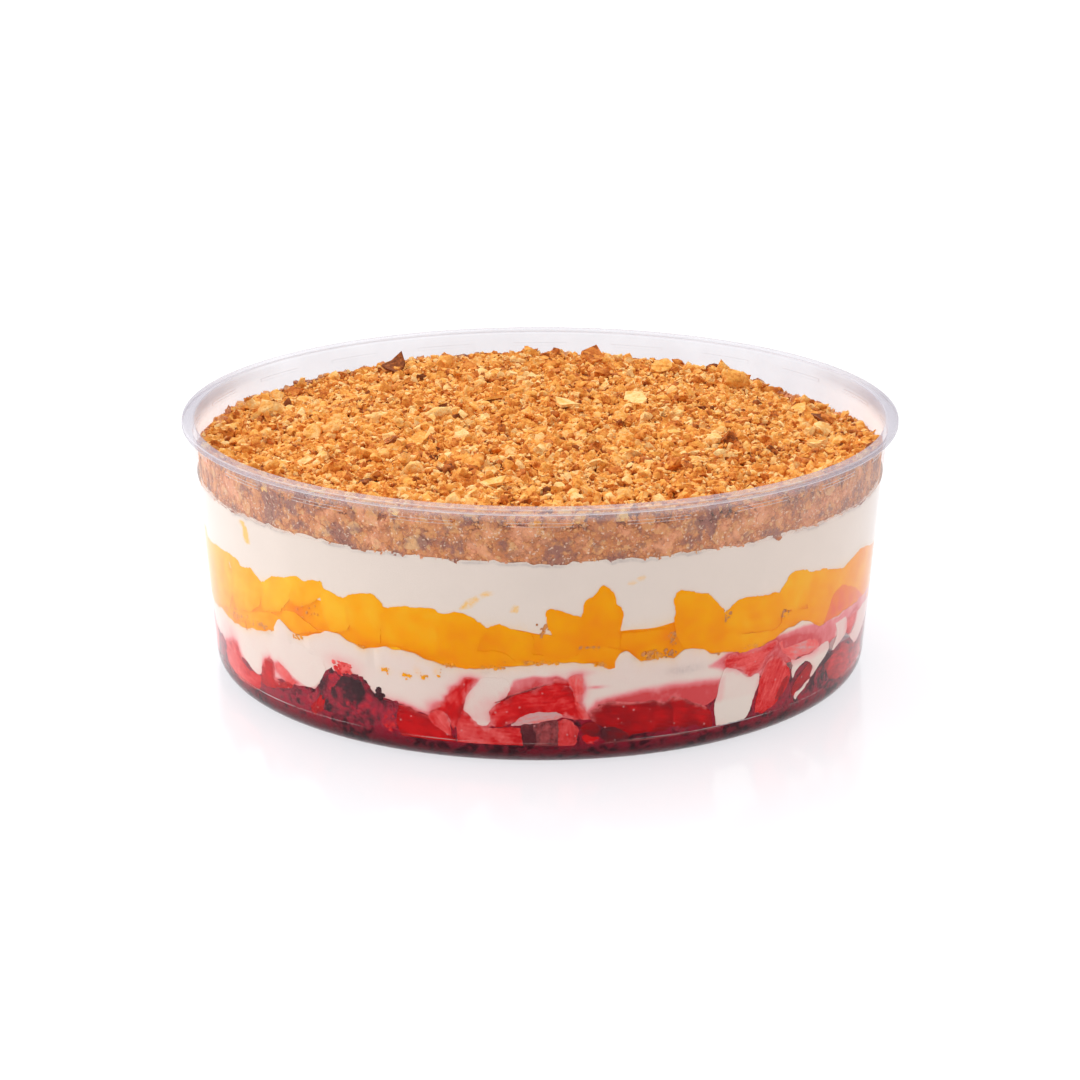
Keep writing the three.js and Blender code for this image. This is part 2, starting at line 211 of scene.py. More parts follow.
class TubSettings(bpy.types.PropertyGroup):
    """Sizes and finish of the clear tub."""

    rim_diameter: length_setting("Rim diameter", "Across the lip", TUB_HIGH.x * 2 * MM)
    height: length_setting("Height", "Table to the lip's top", TUB_HIGH.z * MM)
    tint: colour_setting("Tint", "Colour that the plastic gives light", 252, 250, 253)
    milk: colour_setting("Milkiness", "Colour of the hazy rim", 169, 161, 176)
    # Painted glow: the haze in front of the crumbs drawn warm and bright, as if lit by them
    glow: colour_setting("Glow", "Colour of the hazy wall over the crumbs", 255, 234, 224)
    gloss: share_setting("Roughness", "How far the wall scatters light", 0.04)
    frost: share_setting("Rim roughness", "How far the rim scatters light", 0.25)
    haze: share_setting("Rim haze", "How much of the view one face of the rim veils", 0.18)
    glint: share_setting("Edge light", "How much more the rounded edges veil", 0.6)


class BerrySettings(bpy.types.PropertyGroup):
    """Colours of the berry layer."""

    jelly: colour_setting("Jelly", "Red jelly between the fruit", 150, 34, 52)
    jelly_deep: colour_setting("Deep jelly", "Jelly where it is thickest", 72, 15, 28)
    wine: colour_setting("Wine", "Dark berries with light in them", 164, 20, 46)
    slate: colour_setting("Shadow", "Gaps behind the cut fruit", 84, 30, 36)
    deep: colour_setting("Ripe red", "Ripest strawberry", 156, 5, 13)
    red: colour_setting("Red", "Strawberry flesh by its skin", 218, 13, 18)
    coral: colour_setting("Coral", "Paler strawberry flesh", 246, 98, 93)
    pale: colour_setting("Pale flesh", "Strawberry's pale heart", 214, 166, 162)
    bleed: colour_setting("Blend", "Fruit's edge under a film of cream", 236, 120, 118)
    seed: seed_setting(17)


class CreamSettings(bpy.types.PropertyGroup):
    """Colours of the two layers of cream."""

    cream: colour_setting("Cream", "Whipped cream", 240, 225, 211)
    # Painted shade: cream that stands off the wall, and the line under the crumbs
    hollow: colour_setting("Hollow", "Cream that stands off the wall", 198, 184, 176)
    stain: colour_setting("Fruit stain", "Cream where berry juice has run", 240, 140, 142)
    soaked: colour_setting("Soaked", "Cream full of berry juice", 218, 74, 76)
    juice: colour_setting("Peach juice", "Cream beside the peach", 252, 200, 112)
    seed: seed_setting(5)


class PeachSettings(bpy.types.PropertyGroup):
    """Colours of the peach layer."""

    coral: colour_setting("Blushed", "Peach beside its stone", 240, 106, 80)
    amber: colour_setting("Amber", "Peach where pieces meet", 250, 140, 0)
    flesh: colour_setting("Flesh", "Peach flesh", 255, 166, 0)
    yellow: colour_setting("Yellow", "Palest peach flesh", 255, 194, 40)
    sponge: colour_setting("Soaked sponge", "Crumbs soaked in juice", 216, 140, 84)
    seed: seed_setting(23)


class CrumbSettings(bpy.types.PropertyGroup):
    """Counts, sizes and colours of the crumb topping."""

    fine: count_setting("Fine crumbs", 16000)
    small: count_setting("Small crumbs", 9800)
    lumps: count_setting("Lumps", 1800)
    flakes: count_setting("Flakes", 700)
    burnt: colour_setting("Burnt", "Darkest crumbs", 124, 62, 26)
    brown: colour_setting("Brown", "Well baked crumbs", 208, 112, 40)
    golden: colour_setting("Golden", "Most of the crumbs", 250, 174, 78)
    pale: colour_setting("Pale", "Palest crumbs", 255, 216, 148)
    damp: colour_setting("Damp", "Crumbs pressed on the wall", 218, 152, 116)
    # Mauve of the damp crumbs, partly painted shade that stands for the gaps between them
    plum: colour_setting("Plum", "Dark gaps between damp crumbs", 150, 102, 98)
    # Painted glints: tiny bright specks on the damp crumbs that stand for wet highlights
    painted_glint: colour_setting("Sparkle", "Wet grains on the wall", 255, 226, 200)
    seed: seed_setting(41)


class StageSettings(bpy.types.PropertyGroup):
    """Camera, floor and lights."""

    pitch: bpy.props.FloatProperty(
        name="Camera pitch",
        description="How far the camera looks down",
        subtype="ANGLE",
        unit="ROTATION",
        default=math.radians(17.378),
    )
    distance: length_setting("Camera distance", "Camera to the tub's middle", 0.76310)
    aim_height: length_setting("Aim height", "Height that the camera looks at", 0.03043)
    lens: plain_setting("Lens", "Focal length in mm", 94.0)
    floor: colour_setting("Floor", "Colour of the table", 158, 158, 161)
    floor_glow: share_setting("Floor glow", "How much light the table gives itself", 0.66)
    horizon: plain_setting("Side light", "Strength of the room low down", 1.0)
    zenith: plain_setting("Top light", "Strength of the room overhead", 1.9)
    front: share_setting("Front light", "Share of the light that comes from the front", 0.08)
    right: share_setting("Right light", "Share of the light that comes from the right", 0.5)
    left_light: plain_setting("Left softbox", "Watts of the lamp on the left", 0.9)


# -------- Material tools --------


class Shading:
    """Adds nodes to one tree, each with its inputs set or linked by name."""

    def __init__(self, tree):
        self.tree = tree

    def feed(self, socket, value):
        """Links a socket to another, or sets it to a number or a colour."""
        if isinstance(value, bpy.types.NodeSocket):
            self.tree.links.new(value, socket)
        elif socket.type == "RGBA":
            socket.default_value = (*value, 1)
        else:
            socket.default_value = value

    def node(self, kind, inputs=None, **settings):
        made = self.tree.nodes.new("ShaderNode" + kind)
        for name, value in settings.items():
            setattr(made, name, value)
        for name, value in (inputs or {}).items():
            self.feed(made.inputs[name], value)
        return made

    def place(self):
        return self.node("TexCoord").outputs["Object"]

    def attribute(self, name):
        return self.node("Attribute", attribute_name=name).outputs["Fac"]

    def ramp(self, factor, *stops):
        """A colour ramp with its stops as (place, colour) pairs."""
        made = self.node("ValToRGB", {"Fac": factor})
        elements = made.color_ramp.elements
        while len(elements) < len(stops):
            elements.new(0.5)
        for element, (place, colour) in zip(elements, stops):
            element.position = place
            element.color = (*colour, 1)
        return made.outputs["Color"]

    def mix(self, factor, first, second):
        """A colour between two others."""
        made = self.node("Mix", data_type="RGBA")
        for index, value in ((0, factor), (6, first), (7, second)):
            self.feed(made.inputs[index], value)
        return made.outputs[2]

    def math(self, operation, first, second):
        made = self.node("Math", operation=operation)
        for socket, value in zip(made.inputs, (first, second)):
            self.feed(socket, value)
        return made.outputs[0]

    def add(self, first, *more):
        for value in more:
            first = self.math("ADD", first, value)
        return first

    def times(self, first, second):
        return self.math("MULTIPLY", first, second)

    def spread(self, value, low, high, to_low=0.0, to_high=1.0):
        """A value moved from one range to another and held inside it."""
        inputs = {"Value": value, "From Min": low, "From Max": high}
        inputs |= {"To Min": to_low, "To Max": to_high}
        return self.node("MapRange", inputs).outputs["Result"]

    def group(self, tree, **inputs):
        made = self.node("Group", node_tree=tree)
        for name, value in inputs.items():
            self.feed(made.inputs[name.replace("_", " ")], value)
        return made

    def mottle(self, patch_scale, grain_scale, grain_share):
        """The value of soft patches with a finer grain in them."""
        scales = {"Patch_scale": patch_scale, "Grain_scale": grain_scale}
        return self.group(mottle_group(), **scales, Grain_share=grain_share).outputs[0]


def food_group(name, outputs, **inputs):
    """A node group's tree with its plain number sockets and its Shading, or None if it is made."""
    if name in bpy.data.node_groups:
        return bpy.data.node_groups[name], None
    tree = bpy.data.node_groups.new(name, "ShaderNodeTree")
    for label, default in inputs.items():
        title = label.replace("_", " ")
        socket = tree.interface.new_socket(title, in_out="INPUT", socket_type="NodeSocketFloat")
        socket.default_value = default
    for label in outputs:
        tree.interface.new_socket(label, in_out="OUTPUT", socket_type="NodeSocketFloat")
    return tree, Shading(tree)


def mottle_group():
    """Soft patches with a finer grain in them, which every food has in its own size."""
    tree, shading = food_group(
        "Food mottle", ["Value"], Patch_scale=200.0, Grain_scale=900.0, Grain_share=0.3
    )
    if shading is None:
        return tree
    given = tree.nodes.new("NodeGroupInput").outputs
    place = shading.place()
    layers = []
    for label in ("Patch scale", "Grain scale"):
        inputs = {"Vector": place, "Scale": given[label], "Detail": 3.0, "Roughness": 0.6}
        layers.append(shading.node("TexNoise", inputs).outputs["Fac"])
    grain = shading.times(shading.math("SUBTRACT", layers[1], 0.5), given["Grain share"])
    value = shading.add(layers[0], grain)
    result = tree.nodes.new("NodeGroupOutput")
    tree.links.new(value, result.inputs["Value"])
    return tree


def grain_group():
    """Packed grains: a random value for each, and how far its surface falls off to its edge."""
    tree, shading = food_group("Packed grains", ["Value", "Fall"], Scale=900.0)
    if shading is None:
        return tree
    given = tree.nodes.new("NodeGroupInput").outputs
    place = shading.place()
    bend = shading.node("TexNoise", {"Vector": place, "Scale": 800.0, "Detail": 2.0})
    bent = shading.mix(0.0012, place, bend.outputs["Color"])
    cells = shading.node("TexVoronoi", {"Vector": bent, "Scale": given["Scale"]}).outputs
    value = shading.node("SeparateColor", {"Color": cells["Color"]}).outputs["Red"]
    result = tree.nodes.new("NodeGroupOutput")
    tree.links.new(value, result.inputs["Value"])
    tree.links.new(cells["Distance"], result.inputs["Fall"])
    return tree


def new_material(name):
    """An empty material and its Shading."""
    material = bpy.data.materials.new(name)
    material.use_nodes = True
    material.node_tree.nodes.clear()
    return material, Shading(material.node_tree)


def finish_material(shading, **inputs):
    """Ends a material in one Principled BSDF."""
    named = {name.replace("_", " "): value for name, value in inputs.items()}
    skin = shading.node("BsdfPrincipled", named)
    shading.node("OutputMaterial", {"Surface": skin.outputs[0]})


def finish_food(shading, colour, soft, rough, relief, specular, height=None):
    """Ends a food: rough gives its roughness from dry to wet, relief its strength and depth."""
    height = soft if height is None else height
    bump = {"Height": height, "Strength": relief[0], "Distance": relief[1]}
    finish_material(
        shading,
        Base_Color=colour,
        Roughness=shading.spread(soft, 0.3, 0.7, *rough),
        Normal=shading.node("Bump", bump).outputs["Normal"],
        Specular_IOR_Level=specular,
    )


def shaded(colour, share):
    """A colour made darker or lighter by a share, no brighter than white."""
    return tuple(min(1.0, channel * share) for channel in colour)


# -------- Materials --------


def clear_plastic(settings):
    """Clear plastic that lamps and the food's glow shine straight through."""
    material, shading = new_material("clear_plastic")
    haze = shading.mottle(60.0, 1400.0, 0.2)
    rough = shading.spread(haze, 0.3, 0.8, settings.gloss * 0.8, settings.gloss * 1.25)
    inputs = {
        "Base Color": tuple(settings.tint),
        "Roughness": rough,
        "IOR": PLASTIC_IOR,
        "Specular Tint": (0.16, 0.16, 0.16),
        "Transmission Weight": 1.0,
    }
    shader = shading.node("BsdfPrincipled", inputs).outputs[0]
    open_way = shading.node("BsdfTransparent").outputs[0]
    path = shading.node("LightPath").outputs
    for ray in ("Is Shadow Ray", "Is Diffuse Ray"):
        mixed = shading.node("MixShader", {"Fac": path[ray]})
        shading.tree.links.new(shader, mixed.inputs[1])
        shading.tree.links.new(open_way, mixed.inputs[2])
        shader = mixed.outputs[0]
    shading.node("OutputMaterial", {"Surface": shader})
    return material


def hazy_plastic(settings):
    """Scuffed plastic that veils what is behind it, with a painted warm glow over the crumbs."""
    material, shading = new_material("hazy_plastic")
    haze = shading.mottle(40.0, 160.0, 0.2)
    veil = shading.spread(haze, 0.3, 0.7, settings.haze * 0.9, settings.haze * 1.1)
    edge = shading.attribute("edge")
    # Painted reflection: film thickens the veil at the sides. Painted highlights: the edges veil
    # more
    veil = shading.add(
        shading.times(veil, shading.attribute("film")), shading.times(edge, settings.glint)
    )
    # Painted glow: warm and bright over the crumbs, milky grey elsewhere
    colour = shading.mix(shading.attribute("warm"), settings.milk, settings.glow)
    # Painted highlights: the rounded edges turn nearly white
    colour = shading.mix(edge, colour, settings.tint)
    finish_material(
        shading, Base_Color=colour, Alpha=veil, Roughness=settings.frost, IOR=PLASTIC_IOR
    )
    return material


def jelly_material(settings):
    """Dark red jelly with brighter juice glowing in patches, and painted shade darkest down in the
    heel.
    """
    material, shading = new_material("berry_jelly")
    soft = shading.mottle(130.0, 520.0, 0.8)
    depth = shading.spread(soft, 0.34, 0.72)
    deep = tuple(settings.jelly_deep)
    colour = shading.ramp(depth, (0.0, deep), (0.45, settings.jelly), (0.8, settings.wine))
    level = shading.node("SeparateXYZ", {"Vector": shading.place()}).outputs["Z"]
    # Painted shade: the jelly turns near black in the last few millimetres over the table
    dark = shading.spread(level, 0.002, 0.007, 0.8, 0.0)
    colour = shading.mix(dark, colour, shaded(deep, 0.3))
    finish_food(shading, colour, soft, (0.42, 0.3), (0.3, 0.0006), 0.06)
    return material


def strawberry_material(settings):
    """Cut strawberry: its tone runs from shadow through red to the pale heart."""
    material, shading = new_material("cut_strawberry")
    soft = shading.mottle(230.0, 1500.0, 0.5)
    along = shading.node("Attribute", attribute_name="fibre").outputs["Vector"]
    fibres = {"Vector": along, "Scale": 1.0, "Detail": 3.0, "Roughness": 0.6}
    flesh = shading.node("TexNoise", fibres).outputs["Fac"]
    ripple = shading.spread(soft, 0.3, 0.75, -0.1, 0.11)
    streak = shading.spread(flesh, 0.3, 0.75, -0.07, 0.1)
    skin = shading.spread(shading.attribute("edge"), 0.0, 0.6, -0.06, 0.03)
    colour = shading.ramp(
        shading.add(shading.attribute("tone"), ripple, shading.add(skin, streak)),
        (0.0, settings.slate),
        (0.28, settings.deep),
        (0.52, settings.red),
        (0.76, settings.coral),
        (1.0, settings.pale),
    )
    spots = {"Vector": shading.place(), "Scale": 360.0, "Randomness": 1.0}
    dots = shading.node("TexVoronoi", spots)
    seed = shading.spread(dots.outputs["Distance"], 0.07, 0.13, 0.45, 0.0)
    colour = shading.mix(seed, colour, settings.pale)
    rags = shading.spread(soft, 0.35, 0.65, 0.2, 1.3)
    blend = shading.times(shading.attribute("blend"), rags)
    colour = shading.mix(blend, colour, settings.bleed)
    finish_food(shading, colour, soft, (0.5, 0.32), (0.25, 0.0005), 0.06)
    return material


def dark_berry_material(settings):
    """Near-black berry skins, wine red where the light comes through."""
    material, shading = new_material("dark_berry")
    soft = shading.mottle(150.0, 600.0, 0.6)
    ripple = shading.spread(soft, 0.28, 0.72, -0.22, 0.22)
    colour = shading.ramp(
        shading.add(shading.attribute("tone"), ripple),
        (0.0, shaded(settings.jelly_deep, 0.5)),
        (0.22, settings.jelly_deep),
        (0.5, settings.wine),
        (0.75, settings.red),
        (1.0, settings.coral),
    )
    finish_food(shading, colour, soft, (0.45, 0.3), (0.3, 0.0008), 0.25)
    return material


def cream_material(settings):
    """Whipped cream, stained by the berries and the peach, and greyer with painted shade in its
    hollows.
    """
    material, shading = new_material("whipped_cream")
    soft = shading.mottle(70.0, 1100.0, 0.25)
    rags = shading.mottle(330.0, 1600.0, 0.8)
    wash = shading.mottle(160.0, 700.0, 0.4)
    shade = shading.spread(soft, 0.3, 0.7)
    colour = shading.mix(shade, shaded(settings.cream, 0.97), settings.cream)
    ragged = shading.spread(rags, 0.3, 0.7, 0.5, 1.5)
    washed = shading.spread(wash, 0.3, 0.7, 0.72, 1.28)
    juice = shading.times(shading.attribute("juice"), ragged)
    stain = shading.times(shading.attribute("stain"), washed)
    # Painted shade in the hollows and under the crumbs
    hollow = shading.times(shading.attribute("hollow"), ragged)
    colour = shading.mix(hollow, colour, settings.hollow)
    colour = shading.mix(juice, colour, settings.juice)
    colour = shading.mix(shading.spread(stain, 0.0, 0.6), colour, settings.stain)
    colour = shading.mix(shading.spread(stain, 0.55, 1.2), colour, settings.soaked)
    finish_food(shading, colour, soft, (0.6, 0.45), (0.15, 0.0005), 0.1, height=rags)
    return material


def peach_material(settings):
    """Wet peach: each piece has its tone, and they melt into amber where they meet."""
    material, shading = new_material("peach_flesh")
    soft = shading.mottle(130.0, 500.0, 0.35)
    ripple = shading.spread(soft, 0.3, 0.7, -0.16, 0.16)
    colour = shading.ramp(
        shading.add(shading.attribute("tone"), ripple),
        (0.0, settings.coral),
        (0.3, settings.amber),
        (0.62, settings.flesh),
        (1.0, settings.yellow),
    )
    joint = shading.spread(shading.attribute("edge"), 0.0, 0.5, 0.3, 0.0)
    colour = shading.mix(joint, colour, settings.amber)
    finish_food(shading, colour, soft, (0.5, 0.35), (0.12, 0.0005), 0.04)
    return material


def sponge_material(settings):
    """Crumbs soaked in fruit juice, between plum and amber."""
    material, shading = new_material("soaked_sponge")
    soft = shading.mottle(420.0, 2200.0, 0.6)
    ripple = shading.spread(soft, 0.3, 0.7, -0.2, 0.2)
    colour = shading.ramp(
        shading.add(shading.attribute("tone"), ripple),
        (0.0, shaded(settings.sponge, 0.6)),
        (0.45, settings.sponge),
        (1.0, settings.flesh),
    )
    finish_food(shading, colour, soft, (0.7, 0.45), (0.5, 0.0006), 0.15)
    return material


def crumb_material(settings, name, damp):
    """Baked crumbs, burnt to pale; damp ones soaked with cream, duller, with painted shade and
    glints.
    """
    material, shading = new_material(name)
    soft = shading.mottle(480.0, 2600.0, 0.5)
    grains = shading.group(grain_group(), Scale=1000.0)
    ripple = shading.spread(soft, 0.3, 0.72, -0.14, 0.14)
    fleck = shading.spread(grains.outputs["Value"], 0.0, 1.0, -0.13, 0.13)
    colour = shading.ramp(
        shading.add(shading.attribute("tone"), ripple, fleck),
        (0.0, settings.burnt),
        (0.28, settings.brown),
        (0.62, settings.golden),
        (1.0, settings.pale),
    )
    if damp:
        patch = shading.mottle(110.0, 420.0, 0.5)
        colour = shading.mix(damp, colour, settings.damp)
        tan = shading.spread(patch, 0.46, 0.36, 0.0, damp * 1.1)
        colour = shading.mix(tan, colour, shaded(settings.damp, 1.4))
        # Plum patches: the damp crumbs' mauve, partly painted shade for the gaps between them
        plum = shading.spread(patch, 0.52, 0.62, 0.0, damp * 1.3)
        colour = shading.mix(plum, colour, settings.plum)
        # Painted glints: scattered tiny grains turned nearly white
        glint_grains = shading.group(grain_group(), Scale=2300.0)
        painted_glint = shading.spread(glint_grains.outputs["Value"], 0.94, 0.96, 0.0, 0.6)
        colour = shading.mix(painted_glint, colour, settings.painted_glint)
    height = shading.math("SUBTRACT", soft, grains.outputs["Fall"])
    finish_food(shading, colour, soft, (0.85, 0.55), (0.6, 0.0005), 0.2, height)
    return material


def floor_material(settings):
    """Smooth white table top that glows a little, softly glossy, with painted shade round the tub.
    """
    material, shading = new_material("table")
    place = {"Vector": shading.place()}
    away = shading.node("VectorMath", place, operation="LENGTH").outputs["Value"]
    # Painted shade: the table is darker round the tub's foot
    shade_near_tub = shading.spread(away, 0.08, 0.15, 1.0, 0.0)
    finish_material(
        shading,
        Base_Color=shading.mix(shade_near_tub, settings.floor, shaded(settings.floor, 0.8)),
        Roughness=0.14,
        Specular_IOR_Level=0.3,
        Emission_Color=(0.98, 0.97, 1.0),
        Emission_Strength=settings.floor_glow,
    )
    return material


# -------- Shape tools, all in millimetres --------


def wall_outside(height):
    """The wall's outer radius at a height over the heel."""
    return WALL_FOOT_RADIUS + WALL_SLOPE * height


def wall_inside(height, proud=0.0):
    """The wall's inner radius, or a reach into the wall, turning in along the heel."""
    height = np.asarray(height, float)
    heel_top = FLOOR_TOP + HEEL_ROUND
    round_off = HEEL_ROUND + proud
    straight = wall_outside(height) - WALL_THICKNESS + proud
    drop = np.clip((heel_top - height) / round_off, 0, 1)
    heel_middle = wall_outside(heel_top) - WALL_THICKNESS - HEEL_ROUND
    turned = heel_middle + round_off * np.sqrt(1 - drop**2)
    return np.where(height < heel_top, turned, straight)


def arc(middle, radius, start, end, steps):
    """Points along an arc of a section, from one angle in degrees to another."""
    angles = np.radians(np.linspace(start, end, steps + 1))
    return [(middle[0] + radius * math.cos(a), middle[1] + radius * math.sin(a)) for a in angles]


def spin_section(bm, section, steps):
    """Spins a section with both ends on the axis once round, into a closed body."""
    points = [bm.verts.new((radius, 0, height)) for radius, height in section]
    edges = [bm.edges.new(pair) for pair in zip(points, points[1:])]
    bmesh.ops.spin(
        bm,
        geom=points + edges,
        cent=(0, 0, 0),
        axis=(0, 0, 1),
        dvec=(0, 0, 0),
        angle=TAU,
        steps=steps,
        use_merge=True,
        use_duplicate=False,
    )
    bmesh.ops.remove_doubles(bm, verts=bm.verts[:], dist=0.0001)
    bmesh.ops.recalc_face_normals(bm, faces=bm.faces[:])


def bearings_of(points):
    """The bearing in degrees of each point."""
    return np.degrees(np.arctan2(points[:, 0], -points[:, 1]))


def bearing_of(x, y):
    """The bearing in degrees of one point."""
    return math.degrees(math.atan2(x, -y))


def round_tub(radius, turn, height):
    """Points at a radius and a turn from the front, in radians."""
    return np.column_stack([radius * np.sin(turn), -radius * np.cos(turn), height])


def wrapped(bearing):
    """A bearing from -180 to 180."""
    return (np.asarray(bearing, float) + 180) % 360 - 180


def wander(bearing, swing, waves, seed):
    """A line that wanders up and down round the tub and closes on itself."""
    draw = np.random.default_rng(seed)
    total = np.zeros_like(np.asarray(bearing, float))
    for wave in waves:
        phase, share = draw.uniform(0, TAU), draw.uniform(0.5, 1)
        total += share * np.sin(np.radians(bearing) * wave + phase)
    return swing * total / math.sqrt(len(waves))


def swell(bearing, middle, reach, rise):
    """A smooth rise over one stretch of the wall."""
    return rise * np.exp(-((wrapped(bearing - middle) / reach) ** 2))


def smooth_step(value, low, high):
    """0 below low, 1 above high, and a smooth way between."""
    share = np.clip((np.asarray(value, float) - low) / (high - low), 0, 1)
    return share * share * (3 - 2 * share)


class Batch:
    """Collects closed shapes with their attributes, to join them into one piece."""

    def __init__(self, *names):
        self.points, self.faces, self.count = [], [], 0
        self.values = {name: [] for name in names}

    def add(self, points, faces, **values):
        """Adds shapes as an array of points and lists of corners. Unnamed values are 0."""
        self.points.append(np.asarray(points, float))
        self.faces += [[corner + self.count for corner in face] for face in faces]
        self.count += len(points)
        for name, parts in self.values.items():
            shape = (len(points), 3) if name == "fibre" else len(points)
            parts.append(np.broadcast_to(values.get(name, 0.0), shape))

    def piece(self, name, material, slot, node, sharp=None):
        """Makes the mesh, with its attributes, and shows it as a piece."""
        mesh = bpy.data.meshes.new(name)
        points = np.concatenate(self.points) * MM
        mesh.from_pydata(points.tolist(), [], self.faces)
        for label, parts in self.values.items():
            numbers = np.concatenate(parts).astype(np.float32)
            if label == "fibre":
                layer = mesh.attributes.new(label, "FLOAT_VECTOR", "POINT")
                layer.data.foreach_set("vector", numbers.ravel())
            else:
                layer = mesh.attributes.new(label, "FLOAT", "POINT")
                layer.data.foreach_set("value", numbers)
        place_piece(mesh, [material], node, sharp)


def show(name, data):
    """A new object in the scene."""
    shown = bpy.data.objects.new(name, data)
    bpy.context.scene.collection.objects.link(shown)
    return shown


def place_piece(mesh, materials, node, sharp=None):
    """Shows a finished mesh as a piece that stands for its node."""
    mesh.validate()
    for material in materials:
        mesh.materials.append(material)
    mesh.shade_smooth()
    if sharp is not None:
        mesh.set_sharp_from_angle(angle=math.radians(sharp))
    piece = show(mesh.name, mesh)
    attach(piece, "root")
    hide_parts(node)


def arrays_from(bm):
    """A bmesh as an array of points and lists of corners."""
    bm.verts.index_update()
    points = np.array([vert.co for vert in bm.verts])
    faces = [[vert.index for vert in face.verts] for face in bm.faces]
    bm.free()
    return points, faces


# A place on the wall is drawn flat, with this many millimetres to a degree of bearing
DEGREE = math.radians(1) * 89.0

# Outlines are drawn in steps this long, and have at least so many
OUTLINE_STEP = 0.6
OUTLINE_LEAST = 12

# A cut's front: how far off the wall it starts, its two insets and how far each stands out
CUT_START = 0.05
CUT_INSETS = (0.12, 0.45)
CUT_SWELL = 0.02

# A cut bends to the wall in strips this wide, which stay this far off its ends
STRIP = 1.3
STRIP_START = 0.7
STRIP_END = 0.3

# Millimetres over which a cut's edge turns to its middle, and over which it blends with cream
EDGE_REACH = 3.0
BLEND_REACH = 0.6


def flattened(corners):
    """Corners of (bearing, height) as flat points."""
    return np.array([(bearing * DEGREE, height) for bearing, height in corners])


def drawn_loop(corners, softness, ragged, draw):
    """Points along a closed outline, its corners softened and its edge a little ragged."""
    ring = flattened(corners)
    ring = np.vstack([ring, ring[:1]])
    run = np.concatenate([[0], np.cumsum(np.linalg.norm(np.diff(ring, axis=0), axis=1))])
    count = max(OUTLINE_LEAST, round(run[-1] / OUTLINE_STEP))
    at = np.linspace(0, run[-1], count, endpoint=False)
    loop = np.column_stack([np.interp(at, run, ring[:, axis]) for axis in (0, 1)])
    for _ in range(softness):
        loop = (np.roll(loop, 1, 0) + 2 * loop + np.roll(loop, -1, 0)) / 4
    bumps = draw.normal(0, ragged, (count, 2))
    broad = draw.normal(0, ragged * 1.6, (count, 2))
    broad = sum(np.roll(broad, shift, 0) for shift in range(-2, 3)) / 3
    return loop + bumps * 0.7 + broad


def edge_distance(points, loop):
    """How far each flat point lies from the outline."""
    start, along = loop, np.roll(loop, -1, 0) - loop
    length = np.maximum((along**2).sum(1), 1e-9)
    offset = points[:, None, :] - start[None]
    share = np.clip((offset * along[None]).sum(2) / length, 0, 1)
    nearest = start[None] + share[..., None] * along[None]
    return np.linalg.norm(points[:, None, :] - nearest, axis=2).min(1)


def inside_loop(points, loop):
    """True for each flat point inside the outline."""
    x, y = points[:, None, 0], points[:, None, 1]
    first, second = loop[None], np.roll(loop, -1, 0)[None]
    crosses = (first[..., 1] > y) != (second[..., 1] > y)
    rise = np.where(crosses, second[..., 1] - first[..., 1], 1)
    at = first[..., 0] + (y - first[..., 1]) / rise * (second[..., 0] - first[..., 0])
    return (crosses & (x < at)).sum(1) % 2 == 1


def depth_in(points, corners):
    """How deep each flat point lies inside an outline of (bearing, height), below 0 outside."""
    loop = flattened(corners)
    return edge_distance(points, loop) * np.where(inside_loop(points, loop), 1, -1)


